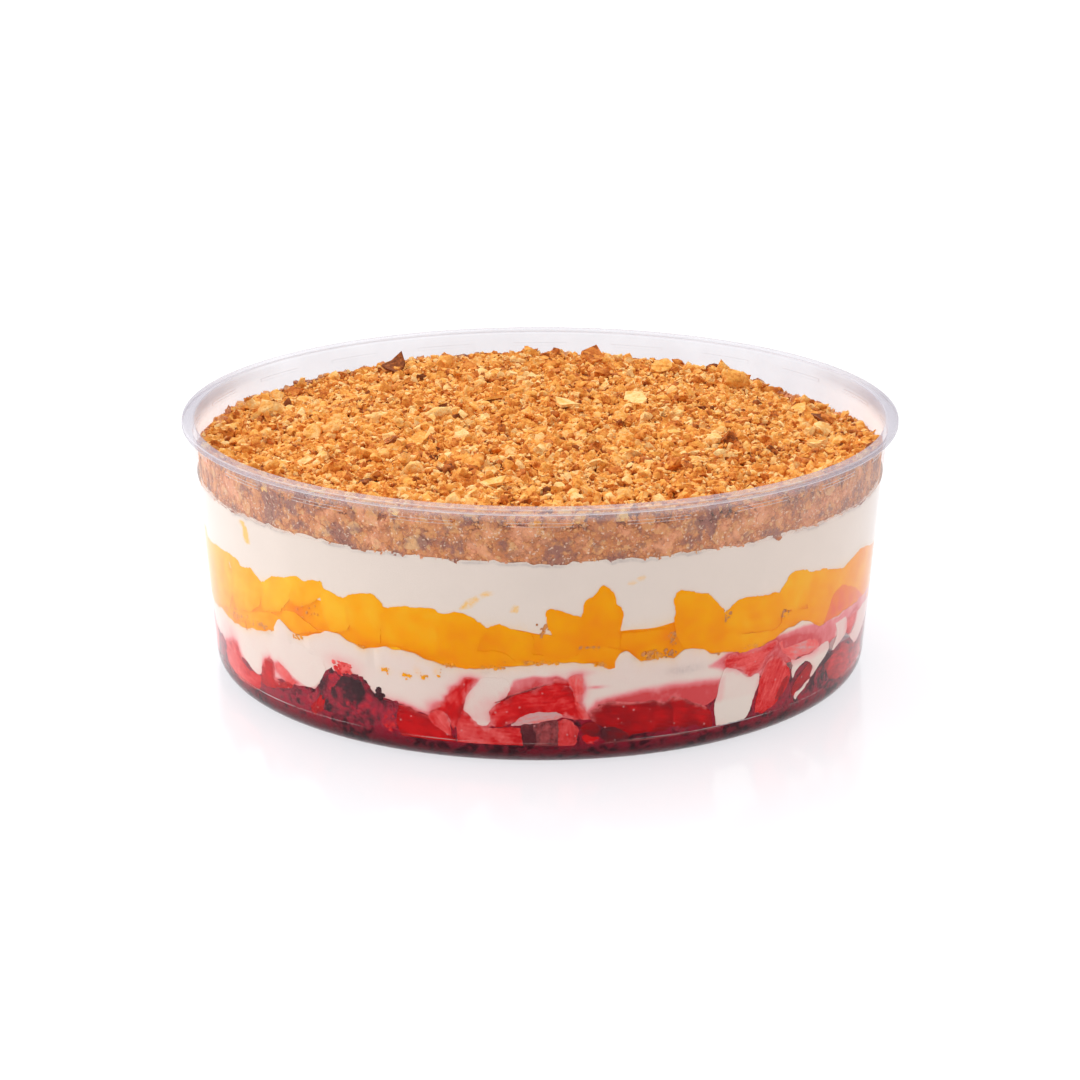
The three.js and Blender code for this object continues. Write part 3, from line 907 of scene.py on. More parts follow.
def press_cut(
    batch, corners, proud, draw, tone, depth=4.0, ragged=0.12, softness=1, slope=0.0, over=None,
    veil=0.0,
):
    """Presses one cut piece flat against the wall.

    The outline is filled, inset twice for its soft edge and its back extruded, and then the whole
    is cut into strips so that it can bend to the wall. slope is how much the tone gains upwards,
    over tells where it lies on cream, which it blends with at its edge, and veil how far it does
    so all over.
    """
    loop = drawn_loop(corners, softness, ragged, draw)
    bm = bmesh.new()
    ring = [bm.verts.new((across, CUT_START, height)) for across, height in loop]
    front = bm.faces.new(ring)
    front.normal_update()
    if front.normal.y > 0:
        front.normal_flip()
    for inset in CUT_INSETS:
        bmesh.ops.inset_region(bm, faces=[front], thickness=inset, use_even_offset=False)
        bmesh.ops.translate(bm, verts=front.verts[:], vec=(0, -CUT_SWELL, 0))
    rim_edges = [edge for edge in bm.edges if edge.is_boundary]
    pulled = bmesh.ops.extrude_edge_only(bm, edges=rim_edges)["geom"]
    back = [item for item in pulled if isinstance(item, bmesh.types.BMVert)]
    bmesh.ops.translate(bm, verts=back, vec=(0, depth, 0))
    bmesh.ops.holes_fill(bm, edges=[edge for edge in bm.edges if edge.is_boundary], sides=0)
    bmesh.ops.recalc_face_normals(bm, faces=bm.faces[:])
    low, high = loop.min(0), loop.max(0)
    for axis, normal in ((0, (1, 0, 0)), (1, (0, 0, 1))):
        for cut in np.arange(low[axis] + STRIP_START, high[axis] - STRIP_END, STRIP):
            place = (cut, 0, 0) if axis == 0 else (0, 0, cut)
            whole = bm.verts[:] + bm.edges[:] + bm.faces[:]
            bmesh.ops.bisect_plane(bm, geom=whole, dist=0.01, plane_co=place, plane_no=normal)
    flat, faces = arrays_from(bm)
    spot = flat[:, [0, 2]]
    rise = (flat[:, 2] - low[1]) / max(high[1] - low[1], 0.1)
    away = edge_distance(spot, loop)
    edge = np.clip(away / EDGE_REACH, 0, 1)
    if slope:
        edge = np.maximum(edge, smooth_step(rise, 0.5, 0.85))
    blend = 0.0 if over is None else np.clip(1 - away / BLEND_REACH, 0, 1) * over(spot)
    middle = loop.mean(0)
    long_way = np.linalg.svd(loop - middle, full_matrices=False)[2][0]
    offset = spot - middle
    along, across = offset @ long_way, offset @ (-long_way[1], long_way[0])
    fibre = np.column_stack([along * 0.25, across * 1.6, np.full(len(flat), draw.uniform(0, 99))])
    tone = tone + slope * (rise - 0.5)
    blend = np.maximum(blend, veil)
    batch.add(bent_to_wall(flat, proud), faces, tone=tone, edge=edge, fibre=fibre, blend=blend)


def bent_to_wall(flat, proud):
    """Bends flat points, drawn as across, inwards and height, to the wall."""
    radius = wall_inside(flat[:, 2]) + proud - flat[:, 1]
    return round_tub(radius, flat[:, 0] / DEGREE * math.radians(1), flat[:, 2])


# -------- The layers' edges at the wall --------

# Bearing and height of the lower cream's hem, where it runs down between the fruit
CREAM_HEM = [
    (-90, 16), (-80, 14.5), (-69, 13), (-60, 12), (-54, 10.7), (-46, 12), (-40, 12.5), (-37, 17),
    (-32, 20.5), (-28, 15.5), (-24, 14), (-19, 11.8), (-14, 9.5), (-9, 9.5), (-5, 11), (3, 12.5),
    (8, 12), (15, 11.5), (22, 11.5), (29, 12.5), (33, 16.5), (42, 17.5), (47, 18), (55, 18),
    (62, 19), (70, 18), (80, 17), (90, 16),
]

# Where the cream stands up in front of the peach: bearing and half width in degrees
CREAM_HUMPS = [
    (-46.6, 2.0), (-34.4, 6.4), (-21.2, 5.6), (13.7, 1.9), (24.6, 2.8), (47.4, 4.4), (66, 12),
]

# Bearing and height of the lower cream's top, with its humps
CREAM_CREST = [
    (-90, 23), (-80, 21.4), (-76, 20.6), (-68, 21.7), (-62.6, 20.8), (-57.3, 21.8), (-51.7, 23.6),
    (-49, 25.4), (-47.2, 28.6), (-46, 28.4), (-44.4, 26.6), (-42, 25.8), (-39.4, 27.4),
    (-36.4, 29.5), (-33.6, 29.2), (-31.2, 28), (-29.2, 26.8), (-27.2, 27.5), (-24.8, 28.6),
    (-21.7, 27.9), (-20.2, 27.7), (-17.8, 26.5), (-13.9, 25.1), (-8, 25.6), (-2, 26.6), (3, 27.4),
    (8, 26.6), (11.4, 25.6), (12.3, 28.8), (13.7, 29.2), (15, 27.8), (16, 26.4), (20, 27),
    (21.6, 25.8), (23.3, 28.5), (24.6, 28.3), (26.5, 27.4), (28, 25.8), (34, 25.4), (42.2, 26.6),
    (44.4, 27.6), (47.5, 28), (50.4, 26.6), (52.6, 24.4), (58, 24.8), (64.2, 24.7), (70, 24.4),
    (76, 24), (82, 23.6), (90, 25),
]


def cream_hem(bearing):
    """Lower edge of the lower cream."""
    loose = 14 + wander(bearing, 2.6, (9, 16, 25), 3)
    return drawn_edge(bearing, CREAM_HEM, loose) + wander(bearing, 0.35, (61, 97, 140), 8)


def drawn_edge(bearing, table, loose):
    """A height round the wall: drawn at the front, and loose at the back."""
    bearing = wrapped(bearing)
    back = smooth_step(np.abs(bearing), 82, 92)
    return np.interp(bearing, *zip(*table)) * (1 - back) + loose * back


def peach_floor(bearing):
    """Where the peach lies on the lower cream."""
    loose = PEACH_FLOOR + wander(bearing, 1.6, (9, 17, 29), 15)
    return drawn_edge(bearing, CREAM_CREST, loose) + wander(bearing, 0.3, (52, 83, 130), 12)


def peach_ceiling(bearing):
    """Where the upper cream lies on the peach, between the dice that stand up into it."""
    named = swell(bearing, -45, 30, 1.0) + swell(bearing, 9, 11, -1.6) + swell(bearing, 56, 20, 1.4)
    return PEACH_CEILING + named + wander(bearing, 0.5, (13, 24, 41), 14)


def crumb_floor(bearing):
    """Where the crumbs lie on the upper cream."""
    return CRUMB_FLOOR + wander(bearing, 0.55, (5, 12, 23, 47, 88, 150), 21)


# Height of the crumbs' surface along the wall: bearing and height
CRUMB_EDGE = [
    (-180, 60.2), (-165, 60.9), (-150, 59.7), (-125, 59.2), (-100, 59), (-80, 59.6), (-60, 60.6),
    (0, 61), (60, 60.4), (90, 57.9), (115, 56.7), (130, 57), (140, 58.5), (160, 59.7), (180, 60.2),
]


def crumb_surface(bearing):
    """The crumbs' height at the wall."""
    bearing = wrapped(bearing)
    return np.interp(bearing, *zip(*CRUMB_EDGE)) + wander(bearing, 0.3, (4, 9, 17), 33)


# Share of the radius at which a layer's faces have a ring of points
LAYER_RINGS = (0, 0.35, 0.65, 0.82, 0.93)


def cream_reach(height, bearing):
    """How far the cream reaches into the wall, furthest in its humps before the peach."""
    away = np.min([np.abs(bearing - middle) - half for middle, half in CREAM_HUMPS], axis=0)
    share = (1 - smooth_step(away, -0.5, 0.5)) * smooth_step(height, 20, 25)
    return CREAM_PROUD + HUMP_PROUD * share * (1 - smooth_step(height, 31, 32))


def jelly_reach(height, bearing):
    """How far the jelly, and what is packed as flat, reaches into the wall and its heel."""
    return JELLY_PROUD + (HEEL_PROUD - JELLY_PROUD) * (1 - smooth_step(height, 3.2, 6.5))


def layer_body(low, high, reach, rows, core, rings=LAYER_RINGS, steps=360):
    """A layer of the filling, a disc between two uneven faces that reaches into the wall.

    low and high give the faces' heights by bearing at the wall, and core their heights at the
    middle. reach is how far it goes into the wall at a height and bearing. The result is an array
    of points and lists of corners.
    """
    inner_low, inner_high = core
    bm = bmesh.new()
    side = [(1, row / rows) for row in range(rows + 1)]
    section = [(ring, 0) for ring in rings] + side + [(ring, 1) for ring in reversed(rings)]
    spin_section(bm, section, steps)
    points, faces = arrays_from(bm)
    share = np.hypot(points[:, 0], points[:, 1])
    bearing = bearings_of(points)
    fade = smooth_step(share, 0.6, 1.0)
    floor = inner_low + (low(bearing) - inner_low) * fade
    ceiling = inner_high + (high(bearing) - inner_high) * fade
    height = floor + (ceiling - floor) * points[:, 2]
    radius = wall_inside(height, reach(height, bearing)) * share
    return round_tub(radius, np.radians(bearing), height), faces


# -------- Cuts of fruit at the front --------

# Each cut has its tone, its order outwards and the corners of its outline as (bearing, height)
STRAWBERRY_CUTS = {
    "left slice": (0.56, 0, [(-68.7, 13.1), (-64.4, 15.4), (-62.4, 15.4), (-60.8, 10.9),
        (-57.9, 9.9), (-54.1, 10.6), (-54.6, 7.4), (-55.6, 5.4), (-58.6, 5), (-62.7, 5.2),
        (-66.7, 6.8), (-69.1, 9.4)]),
    "left slice light": (0.68, 1, [(-69.5, 10.3), (-64.5, 10.1), (-58.3, 7.3), (-58.6, 5.6),
        (-63.6, 5.2), (-68.4, 7.1)]),
    "first peak": (0.44, 3, [(-54.4, 8.6), (-53.7, 12.6), (-52.6, 15.5), (-51, 16.7), (-50, 15.8),
        (-49.8, 13.8), (-50.2, 11.6), (-48.1, 10.9), (-46.4, 12.1), (-44.5, 11.3), (-46.6, 9.9),
        (-50.5, 8.8), (-53.5, 8)]),
    "second peak": (0.7, 2, [(-49.7, 15.5), (-48, 16.7), (-47.1, 16), (-45.1, 13.2), (-43.9, 12.6),
        (-45.4, 11.7), (-47.2, 12.3), (-49.4, 14)]),
    "red by the compote": (0.42, 2, [(-41.1, 7.4), (-38.6, 11.5), (-37.6, 10.8), (-38.2, 7.5),
        (-40.4, 5.1)]),
    "low red": (0.42, 1, [(-23.4, 13.7), (-21.2, 13.3), (-19.7, 12), (-18.4, 11.8), (-17.3, 9.1),
        (-13.6, 6.2), (-13.9, 3.9), (-17.3, 3.4), (-23.1, 5.2), (-23.9, 8.8)]),
    "wedge": (0.52, 6, [(-11, 22.8), (-9.8, 22.3), (-11.7, 18.1), (-12.3, 14.2), (-14, 8.2),
        (-14.7, 12.6), (-15.7, 13.5), (-18.1, 12.1), (-16.3, 15.3), (-15.4, 15.9), (-15.3, 17),
        (-14.5, 18), (-14.2, 19.6), (-12.5, 21.4), (-12.1, 22.4)]),
    "wedge heart": (0.64, 7, [(-18.1, 12.1), (-16.8, 13.2), (-15.7, 13.4), (-14.9, 12.4),
        (-14.1, 8.4), (-14.3, 6.9), (-15.1, 7.1), (-17.3, 9.1), (-18.1, 10.6)]),
    "right of the wedge": (0.56, 4, [(-13.4, 7.9), (-13.6, 9.9), (-12.3, 13.9), (-10.5, 11.3),
        (-10.1, 10.1), (-7.5, 9.7), (-4, 10.2), (-2.3, 9.4), (-2.1, 7.2), (-2.8, 4.6), (-8, 3.8),
        (-13.4, 4.2)]),
    # No fruit: a painted reflection of the table in the heel, drawn as a grey cut under a pale veil
    "painted heel reflection": (0.0, 2, [(9.8, 3.4), (9.8, 5.4), (14.4, 5.4), (22, 5.8), (31, 5.6), (31, 3.2),
        (22.2, 3.2)]),
    "arch": (0.5, 8, [(-7.5, 10), (-8.1, 11.4), (-8.1, 13.8), (-6.9, 16.4), (-4, 18.6), (2.1, 21.7),
        (3.5, 21.6), (4.9, 20.6), (6.1, 15.6), (7, 13.5), (6.5, 12.1), (5.5, 11.8), (2.3, 14.2),
        (-0.6, 14), (-3.3, 12.7), (-4.5, 10.6)]),
    "arch heart": (0.98, 7, [(-4.8, 10.2), (-3.1, 13.1), (-1.8, 14.1), (1.9, 14.8), (3.3, 13.9),
        (3.7, 12.9), (1.1, 11.7), (-2.1, 11.3)]),
    "arch skin": (0.22, 9, [(-6.9, 16.6), (-3.5, 19.2), (0.1, 21.3), (1.1, 21.7), (1.2, 21.4),
        (-4.2, 18.4), (-7.2, 15.9)]),
    "arch top": (0.5, 9, [(1.8, 22.1), (2.4, 23.3), (4.4, 22), (4.9, 21), (2.6, 21.5)]),
    "coral end": (0.76, 9, [(4.6, 23), (5.4, 23.6), (6.5, 23.7), (6.9, 20), (6.4, 16.4),
        (5.5, 16.7), (5, 20.6), (4.5, 21.8)]),
    "coral foot": (0.68, 10, [(5.4, 16.9), (6.5, 16.2), (8, 12.2), (7.1, 11.6), (6.3, 12.1)]),
    # Painted shade: a dark sheet in the gap behind the cuts
    "painted shade gap": (0.0, 5, [(-3.3, 10.6), (-2.1, 11.4), (-1.1, 11.3), (-0.4, 7.2), (-1, 4),
        (-2.6, 4.2)]),
    "grey heart": (0.06, 6, [(-1.1, 11.3), (-0.1, 11.9), (1.6, 12.2), (2.9, 12), (3.1, 7.7),
        (2.4, 3.6), (-1.2, 3.8), (-0.6, 7.2)]),
    "rosy cut": (0.5, 7, [(2.9, 11.9), (3.6, 12.5), (4.9, 11.8), (5.8, 10.5), (6.2, 9.3),
        (5.8, 6.4), (4.8, 4.2), (2.8, 3.8), (2.9, 7.2)]),
    "first big berry": (0.3, 6, [(8, 14.2), (8.3, 14.9), (9, 14.4), (9.3, 15.8), (11.7, 16.3),
        (17, 15.2), (18.8, 15.4), (20.5, 14.7), (21.6, 13), (22, 9.2), (20.7, 7), (17, 7.5),
        (13.9, 6.4), (8.3, 11.4), (7.8, 12.6)]),
    "plum bits": (0.1, 8, [(9.8, 8.9), (11, 9.6), (12.6, 9), (14.1, 7.4), (14.4, 5.7), (10.8, 5.7),
        (9.8, 6.7)]),
    "dark foot": (0.2, 7, [(6.3, 9.9), (7.8, 11.2), (9, 10.7), (9.9, 8.9), (9.8, 7.1), (7.8, 6.9),
        (6.6, 8.2)]),
    "bright scrap": (0.56, 9, [(6.6, 6.5), (6.8, 8), (7.5, 8.3), (8.3, 7.4), (9.3, 7.3), (9.7, 6.6),
        (8.8, 6), (7, 5.8)]),
    "second big berry": (0.36, 5, [(19.5, 12.3), (21.1, 16.1), (22.8, 15.7), (27.1, 12.3),
        (28.8, 10.1), (29.2, 6.3), (28.1, 5.9), (25.1, 7.4), (23.1, 7.2), (21.3, 8.3),
        (19.9, 10.2)]),
    "swirl": (0.64, 7, [(31, 21.3), (30.6, 22.9), (31.4, 24.5), (33.1, 24.7), (35.5, 24.2),
        (41.3, 25.3), (42, 24.5), (39.7, 22), (38.3, 18.1), (37.1, 18), (36.3, 17.3), (34.1, 20)]),
    "bright oval": (0.56, 8, [(41.5, 21.6), (43.3, 19.9), (44.7, 17), (45.5, 14.6), (45.3, 12.1),
        (42.6, 7.7), (39.6, 6), (37.8, 7), (38.3, 15.8), (38.9, 18.2), (39.9, 20.4)]),
    "oval shade": (0.4, 9, [(45.1, 14.8), (45.5, 12), (42.8, 8.4), (42, 9.2), (43.8, 13.5)]),
    "pink slice": (0.8, 6, [(42, 24), (43.6, 24.7), (46, 24.6), (51.9, 21.3), (53.2, 19.7),
        (52.8, 18.3), (50.8, 17.9), (48, 18.5), (46, 18.3), (44.5, 19.4), (43.1, 21.3)]),
    "shard": (0.36, 9, [(46.3, 9.6), (47.1, 11.9), (50, 15.1), (51.1, 14.8), (51.8, 13), (51, 10.7),
        (48.9, 10.1), (47.4, 9.1), (47.1, 7.7)]),
    "far cut": (0.36, 3, [(55.7, 12.8), (61.9, 15.7), (67.4, 12.7), (73.6, 10.9), (78.2, 4.2),
        (71.2, 3.5), (63.9, 5.1), (58.5, 7.2)]),
    "far strip": (0.62, 8, [(62.8, 20.6), (66.2, 22.6), (68.6, 22), (68.2, 19), (65.4, 16.6),
        (63.8, 17.4)]),
}

# How far a film of juice and cream veils some of the cuts, and how pale the painted heel reflection
# is, from 0 to 1
VEILED = {
    "grey heart": 0.36, "rosy cut": 0.26, "painted heel reflection": 0.3, "wedge heart": 0.16,
    "right of the wedge": 0.16, "second peak": 0.2, "far cut": 0.08, "painted shade gap": 0.05,
}

# Runs of cream down between the fruit: order outwards and corners
CREAM_RUNS = {
    "small drip": (2, [(-60.3, 16.7), (-56.2, 17), (-53.2, 16.5), (-54.1, 10.9), (-55, 10),
        (-56.5, 10.3), (-58.4, 11.5), (-60.3, 13.3)]),
    "big drip": (5, [(-51.1, 18.5), (-45, 14.3), (-41.4, 12.4), (-40, 13), (-38.6, 14.9),
        (-36.9, 19.1), (-37.6, 20.7), (-37.2, 22.8), (-43.5, 23.7), (-49.1, 22)]),
    "run by the wedge": (3, [(-11.8, 17.9), (-12.3, 14.2), (-10, 10.2), (-8.7, 9.9), (-7.9, 11),
        (-8.1, 13.8), (-7.5, 15.3), (-6.9, 16.4), (-5.4, 17.8), (-4.4, 20.6), (-5.4, 23),
        (-9.3, 22.7)]),
    "white block": (11, [(31, 21.3), (32.2, 21), (33.4, 20), (34.4, 18.4), (35.9, 16.9),
        (38.1, 17.9), (38.2, 14.8), (36.3, 7.1), (35.8, 6), (29.7, 5.9), (29.3, 11.5),
        (30.2, 18.4)]),
    "first streak": (10, [(45.3, 18.6), (46.6, 17.8), (50.8, 17.9), (53.3, 18.9), (56.2, 19.2),
        (56.9, 16.5), (51.5, 10.8), (51, 11.5), (52.1, 13.9), (51.1, 15.4), (49.5, 16.8),
        (46.9, 14.6), (46.3, 12.6), (45.8, 14.5), (46.2, 16.4)]),
    "second streak": (10, [(58, 23.3), (59.8, 23.5), (62.6, 22.5), (63.6, 20.2), (63.5, 17.6),
        (58.3, 15), (58, 16.2), (59.2, 18), (59.6, 19.9)]),
    "third streak": (10, [(68.9, 21.1), (73.1, 21.3), (80.9, 19.9), (79.1, 18.9), (77.7, 16.3),
        (74.3, 13.8), (70, 12.2), (68.5, 12.2), (67, 14.2), (64.5, 16.6), (67, 16.6),
        (68.3, 18.4)]),
    "thin streak": (11, [(47.3, 6.5), (47.1, 8.5), (48.5, 8.7), (51, 11), (51.4, 10.3), (49.8, 8.6),
        (48.1, 7.7), (47.8, 6.6)]),
}

DARK_CUTS = {
    "compote": (0.36, 0, [(-37.5, 18.6), (-36.2, 19.8), (-32.5, 19.2), (-30.6, 19.8), (-29.2, 19.2),
        (-28.2, 17.4), (-27, 14.1), (-23.4, 13.7), (-23.1, 11), (-24, 7.7), (-28.6, 6.4),
        (-41.9, 8.7), (-37.9, 15.9)]),
    "compote heart": (0.2, 1, [(-36.2, 17), (-32.9, 18.3), (-30.3, 18.4), (-29, 15.7),
        (-30.3, 11.7), (-33.4, 9.6), (-36.1, 11.9)]),
    "compote red": (0.52, 2, [(-36.3, 18), (-34.1, 19), (-33.8, 17.6), (-36.6, 13.2),
        (-37.1, 15.1)]),
    "black": (0.0, 4, [(-31.3, 16.7), (-30.2, 18), (-29.5, 16.9), (-29.3, 15.7), (-30.2, 13.9),
        (-31.1, 14.7)]),
}

PEACH_CUTS = {
    "far left": (0.72, 2, [(-77.4, 40.5), (-77.6, 38.3), (-63.3, 40.2), (-62.3, 38.6), (-61, 33.9),
        (-62.2, 29.2), (-64, 24.4), (-74.8, 20.5), (-78.1, 25.8)]),
    "second": (0.76, 4, [(-63.3, 40.2), (-58.2, 40.1), (-57.7, 38.5), (-54, 39.6), (-50.9, 37),
        (-51.3, 34), (-52.4, 30.4), (-55.6, 27), (-60.8, 25.7), (-62.5, 29.1), (-61.1, 36)]),
    "third": (0.84, 6, [(-50.9, 37), (-47.9, 39.7), (-45.9, 40.7), (-44.2, 40.8), (-43.4, 39.1),
        (-44.2, 34.7), (-46.7, 30.7), (-51.1, 28.9), (-52, 31.6)]),
    "fourth": (0.8, 5, [(-44.9, 41), (-42.1, 41.8), (-40.4, 41.4), (-38.7, 42.2), (-36.6, 42.5),
        (-36.3, 41), (-36.4, 38.9), (-39.1, 35.5), (-42.7, 33.7), (-44.4, 35.7)]),
    "fifth": (0.74, 7, [(-36.5, 41.4), (-35.6, 40.4), (-32.2, 39.3), (-30.8, 38), (-31, 35),
        (-31.9, 30.9), (-34.7, 29.3), (-36.5, 32.3), (-37, 36.7)]),
    "sixth": (0.7, 8, [(-32.2, 39.3), (-31.4, 40.4), (-27.3, 42.3), (-25.3, 39.9), (-25.1, 36.5),
        (-25.9, 29), (-28, 28.9), (-31.8, 32.7), (-32.2, 35.6)]),
    "seventh": (0.62, 6, [(-25.3, 39.2), (-24.2, 38.6), (-21.2, 39.8), (-17.2, 39.9), (-15.8, 39.5),
        (-15, 36.4), (-15.5, 28.3), (-18, 27.1), (-23.2, 29.6), (-25.7, 29)]),
    "drip": (0.66, 12, [(-24, 28.8), (-22.2, 28.8), (-22.3, 25), (-22.8, 23.6), (-23.5, 23.4),
        (-23.9, 25.4)]),
    "long low": (0.66, 9, [(-45.7, 31.3), (-42.8, 32.2), (-37.9, 28.8), (-35.5, 29.1),
        (-39.6, 28.2), (-43.3, 26.3), (-46, 27.9), (-47.4, 29.4)]),
    "left low": (0.6, 3, [(-62.6, 24.8), (-55.6, 27), (-49.4, 29.6), (-46.4, 29.3), (-46.1, 27.1),
        (-47.8, 24.6), (-51.6, 24.5), (-61.7, 22.6)]),
    "eighth": (0.6, 7, [(-16.2, 38.8), (-12.9, 39.8), (-10.5, 38.6), (-8.9, 36.8), (-8.2, 35.4),
        (-9.2, 33.2), (-9.7, 29.9), (-11.7, 28.1), (-16, 28.4)]),
    "ninth": (0.5, 5, [(-8.4, 35.2), (-7.7, 36.5), (-6.2, 37.2), (-4.4, 35.9), (-1.4, 34.8),
        (-0.9, 33.6), (-1, 30.4), (-3.4, 29.5), (-6.3, 31), (-8.2, 32.4)]),
    "ninth low": (0.5, 8, [(-6.3, 33.4), (-3.9, 33.5), (-1.5, 31.2), (-1, 28.8), (-2.5, 28.3),
        (-3.9, 28.7), (-5.3, 30.2)]),
    "low middle": (0.44, 4, [(-13.6, 28.6), (-10.4, 29.8), (-7.8, 30.1), (-5.4, 29.6), (-3.9, 27.5),
        (-5.4, 26), (-9.3, 25.3), (-13.5, 25.2)]),
    "low bar": (0.4, 6, [(-4.4, 29.5), (-1.5, 29.6), (1.8, 29.1), (2.8, 28.3), (2.3, 27.1),
        (-1.5, 27.5), (-3.9, 27.1)]),
    "left lobe": (0.46, 9, [(0.8, 40.9), (1.3, 41.4), (2, 41.4), (6.5, 38.8), (6.6, 35),
        (4.2, 33.5), (1.8, 34.4), (0.8, 39.2)]),
    "star": (0.5, 10, [(6.4, 39), (6.7, 42.9), (7.2, 43.6), (7.9, 43.5), (8.6, 44.6), (9.3, 46.8),
        (9.9, 47.2), (11.3, 44.7), (11.7, 42.3), (12.9, 39.6), (12.4, 34.4), (9.5, 33.1),
        (6.6, 34.6)]),
    "under the star": (0.36, 7, [(-1, 34.6), (1.6, 34.4), (7.5, 34.9), (12.6, 34.5), (12.8, 32),
        (11.2, 31), (8, 30.9), (5.2, 28.6), (2.3, 28.3), (-0.6, 30)]),
    "bar to the block": (0.42, 5, [(12.4, 34.2), (19, 34.3), (21.2, 33.4), (21.3, 31.4),
        (19.1, 31.2), (14.9, 29.2), (12.7, 30.2)]),
    "low right": (0.42, 8, [(5.4, 29.2), (7.3, 31.3), (10, 31.1), (12.2, 30.4), (12.8, 29.2),
        (12.2, 27.2), (12.5, 25.2), (11, 24.9), (10, 25.8), (9.5, 27.1), (7.3, 27.5)]),
    "tall block": (0.56, 11, [(21.2, 43.3), (21.6, 44), (27, 42.1), (28.9, 39.1), (29.9, 37.1),
        (30.4, 33.1), (30.5, 25.7), (28.6, 26.1), (26.5, 27.3), (23.2, 28.4), (21.9, 31.7),
        (21.2, 35.8)]),
    "by the block": (0.6, 8, [(29.6, 35.4), (31.3, 37.4), (32.7, 38.8), (34.6, 39), (41.4, 38),
        (42.3, 35.4), (42.3, 32.4), (40.9, 30.3), (37.6, 28.9), (33.6, 29.7), (29.6, 31)]),
    "high right": (0.72, 9, [(41.2, 38.1), (43.1, 42), (44.4, 42.7), (45.9, 42.5), (47.7, 41.6),
        (48.9, 39.1), (49.2, 35.9), (48.8, 32.5), (45.3, 31.7), (42.4, 33.3)]),
    "wide right": (0.58, 7, [(48, 41), (59.9, 37.6), (62.4, 34.4), (61.7, 31.6), (57.3, 30.9),
        (56.9, 28.5), (51.9, 28.6), (48.4, 31.1)]),
    "far right": (0.5, 8, [(59.5, 37.8), (61.3, 38.5), (67.1, 39.5), (79.2, 35.2), (80.2, 24.8),
        (80.2, 20.4), (65.7, 25), (60.3, 30.1), (59.4, 33.7)]),
    "low block": (0.56, 6, [(29.7, 31), (35.2, 29.2), (40.2, 28), (42.7, 29.7), (44.6, 28.9),
        (40.8, 25.7), (37.9, 24.7), (34.7, 24.2), (29.8, 25.9)]),
    "low far": (0.48, 8, [(42.5, 32.3), (46.3, 31.9), (50.6, 30.2), (56.2, 28.8), (56.3, 25.6),
        (53.5, 24.8), (48.2, 28.1), (44.2, 28.6), (42.3, 29.8)]),
    "blushed": (0.1, 9, [(56.5, 31.8), (59.2, 32.7), (64.6, 30.2), (72.2, 23.9), (65.7, 25),
        (60.3, 25.1), (55.8, 24.3), (53.9, 24.6)]),
}

# Cream soaked by berry juice: strength, softness and corners of each patch
SOAKED_CREAM = [
    (0.8, 0.8, [(-4.4, 20.8), (-4, 22.4), (-1, 23.4), (3, 23.2), (4.4, 22), (1, 21.6), (-4, 18.6),
        (-6.4, 17.6)]),
    (1.1, 2.2, [(8, 12), (9.4, 16), (16, 18), (22, 18.6), (30, 17.8), (30, 10), (8, 10)]),
    (0.6, 0.8, [(28, 22.4), (31, 24.6), (40, 26), (48, 26.4), (55, 25), (60, 24), (58, 17),
        (44, 17), (33, 20)]),
    (0.5, 0.9, [(60, 25), (72, 26), (84, 27), (84, 12), (66, 12), (60, 16)]),
]

# Clusters of drupelets: bearing, height, size, count, tone
BERRY_CLUSTERS = [
    (-34.8, 23, 2.5, 46, 1.05), (-32.8, 21.4, 2.4, 46, 0.95), (-33.9, 20, 1.9, 22, 0.86),
    (-26.8, 15.4, 1.4, 14, 0.06), (-31, 9.5, 3.4, 34, 0.4), (-37, 9, 3, 26, 0.3),
    (-25, 8, 2.6, 24, 0.5), (8.2, 6.2, 1.3, 16, 0.72), (55, 8.5, 3.6, 34, 0.36),
    (47.6, 5.6, 1.8, 14, 0.3), (23.4, 6.6, 1.5, 12, 0.55), (68, 10, 4, 34, 0.4),
]

# Soaked crumbs at the front: bearing, height, reach across and up, count, tone
SOAKED_CLUSTERS = [
    (-60, 23.6, 7, 1.6, 40, 0.8), (-52, 25, 4, 0.8, 24, 0.7), (-42.8, 25.8, 1.6, 0.8, 12, 0.9),
    (-29.4, 27.2, 1.4, 0.5, 12, 0.8), (-25.1, 22.2, 1.4, 0.8, 14, 0.9),
    (-21.6, 21.6, 1.2, 0.7, 12, 1), (-19.7, 23.4, 0.9, 0.9, 12, 0.9),
    (-18.5, 21.9, 1.1, 0.6, 8, 0.9), (-16.3, 23.5, 0.8, 0.8, 10, 0.9), (-14, 25.6, 2, 0.5, 14, 0.8),
    (-8, 25.8, 4, 0.5, 20, 0.85), (0, 27.2, 6, 0.5, 36, 0.85), (9.4, 26.4, 1.6, 0.7, 20, 0.8),
    (17.2, 28.2, 2, 0.8, 24, 0.45), (18.4, 27.3, 2.6, 1.0, 30, 0.8), (20.8, 27.6, 1.2, 1, 20, 0.35),
    (21.4, 31.6, 2, 3, 24, 0.6), (30.6, 35.2, 1.3, 1.8, 24, 0.35), (42.8, 32, 1.6, 1.6, 18, 0.2),
    (29.6, 26.4, 0.9, 1.4, 14, 0.45), (36, 25.6, 4, 0.5, 20, 0.8), (8.2, 31, 2, 0.5, 10, 0.35),
    (-40, 33.2, 3.4, 2, 10, 0.7), (0.4, 35.8, 1.6, 1.2, 14, 0.45),
]

# -------- Pieces --------


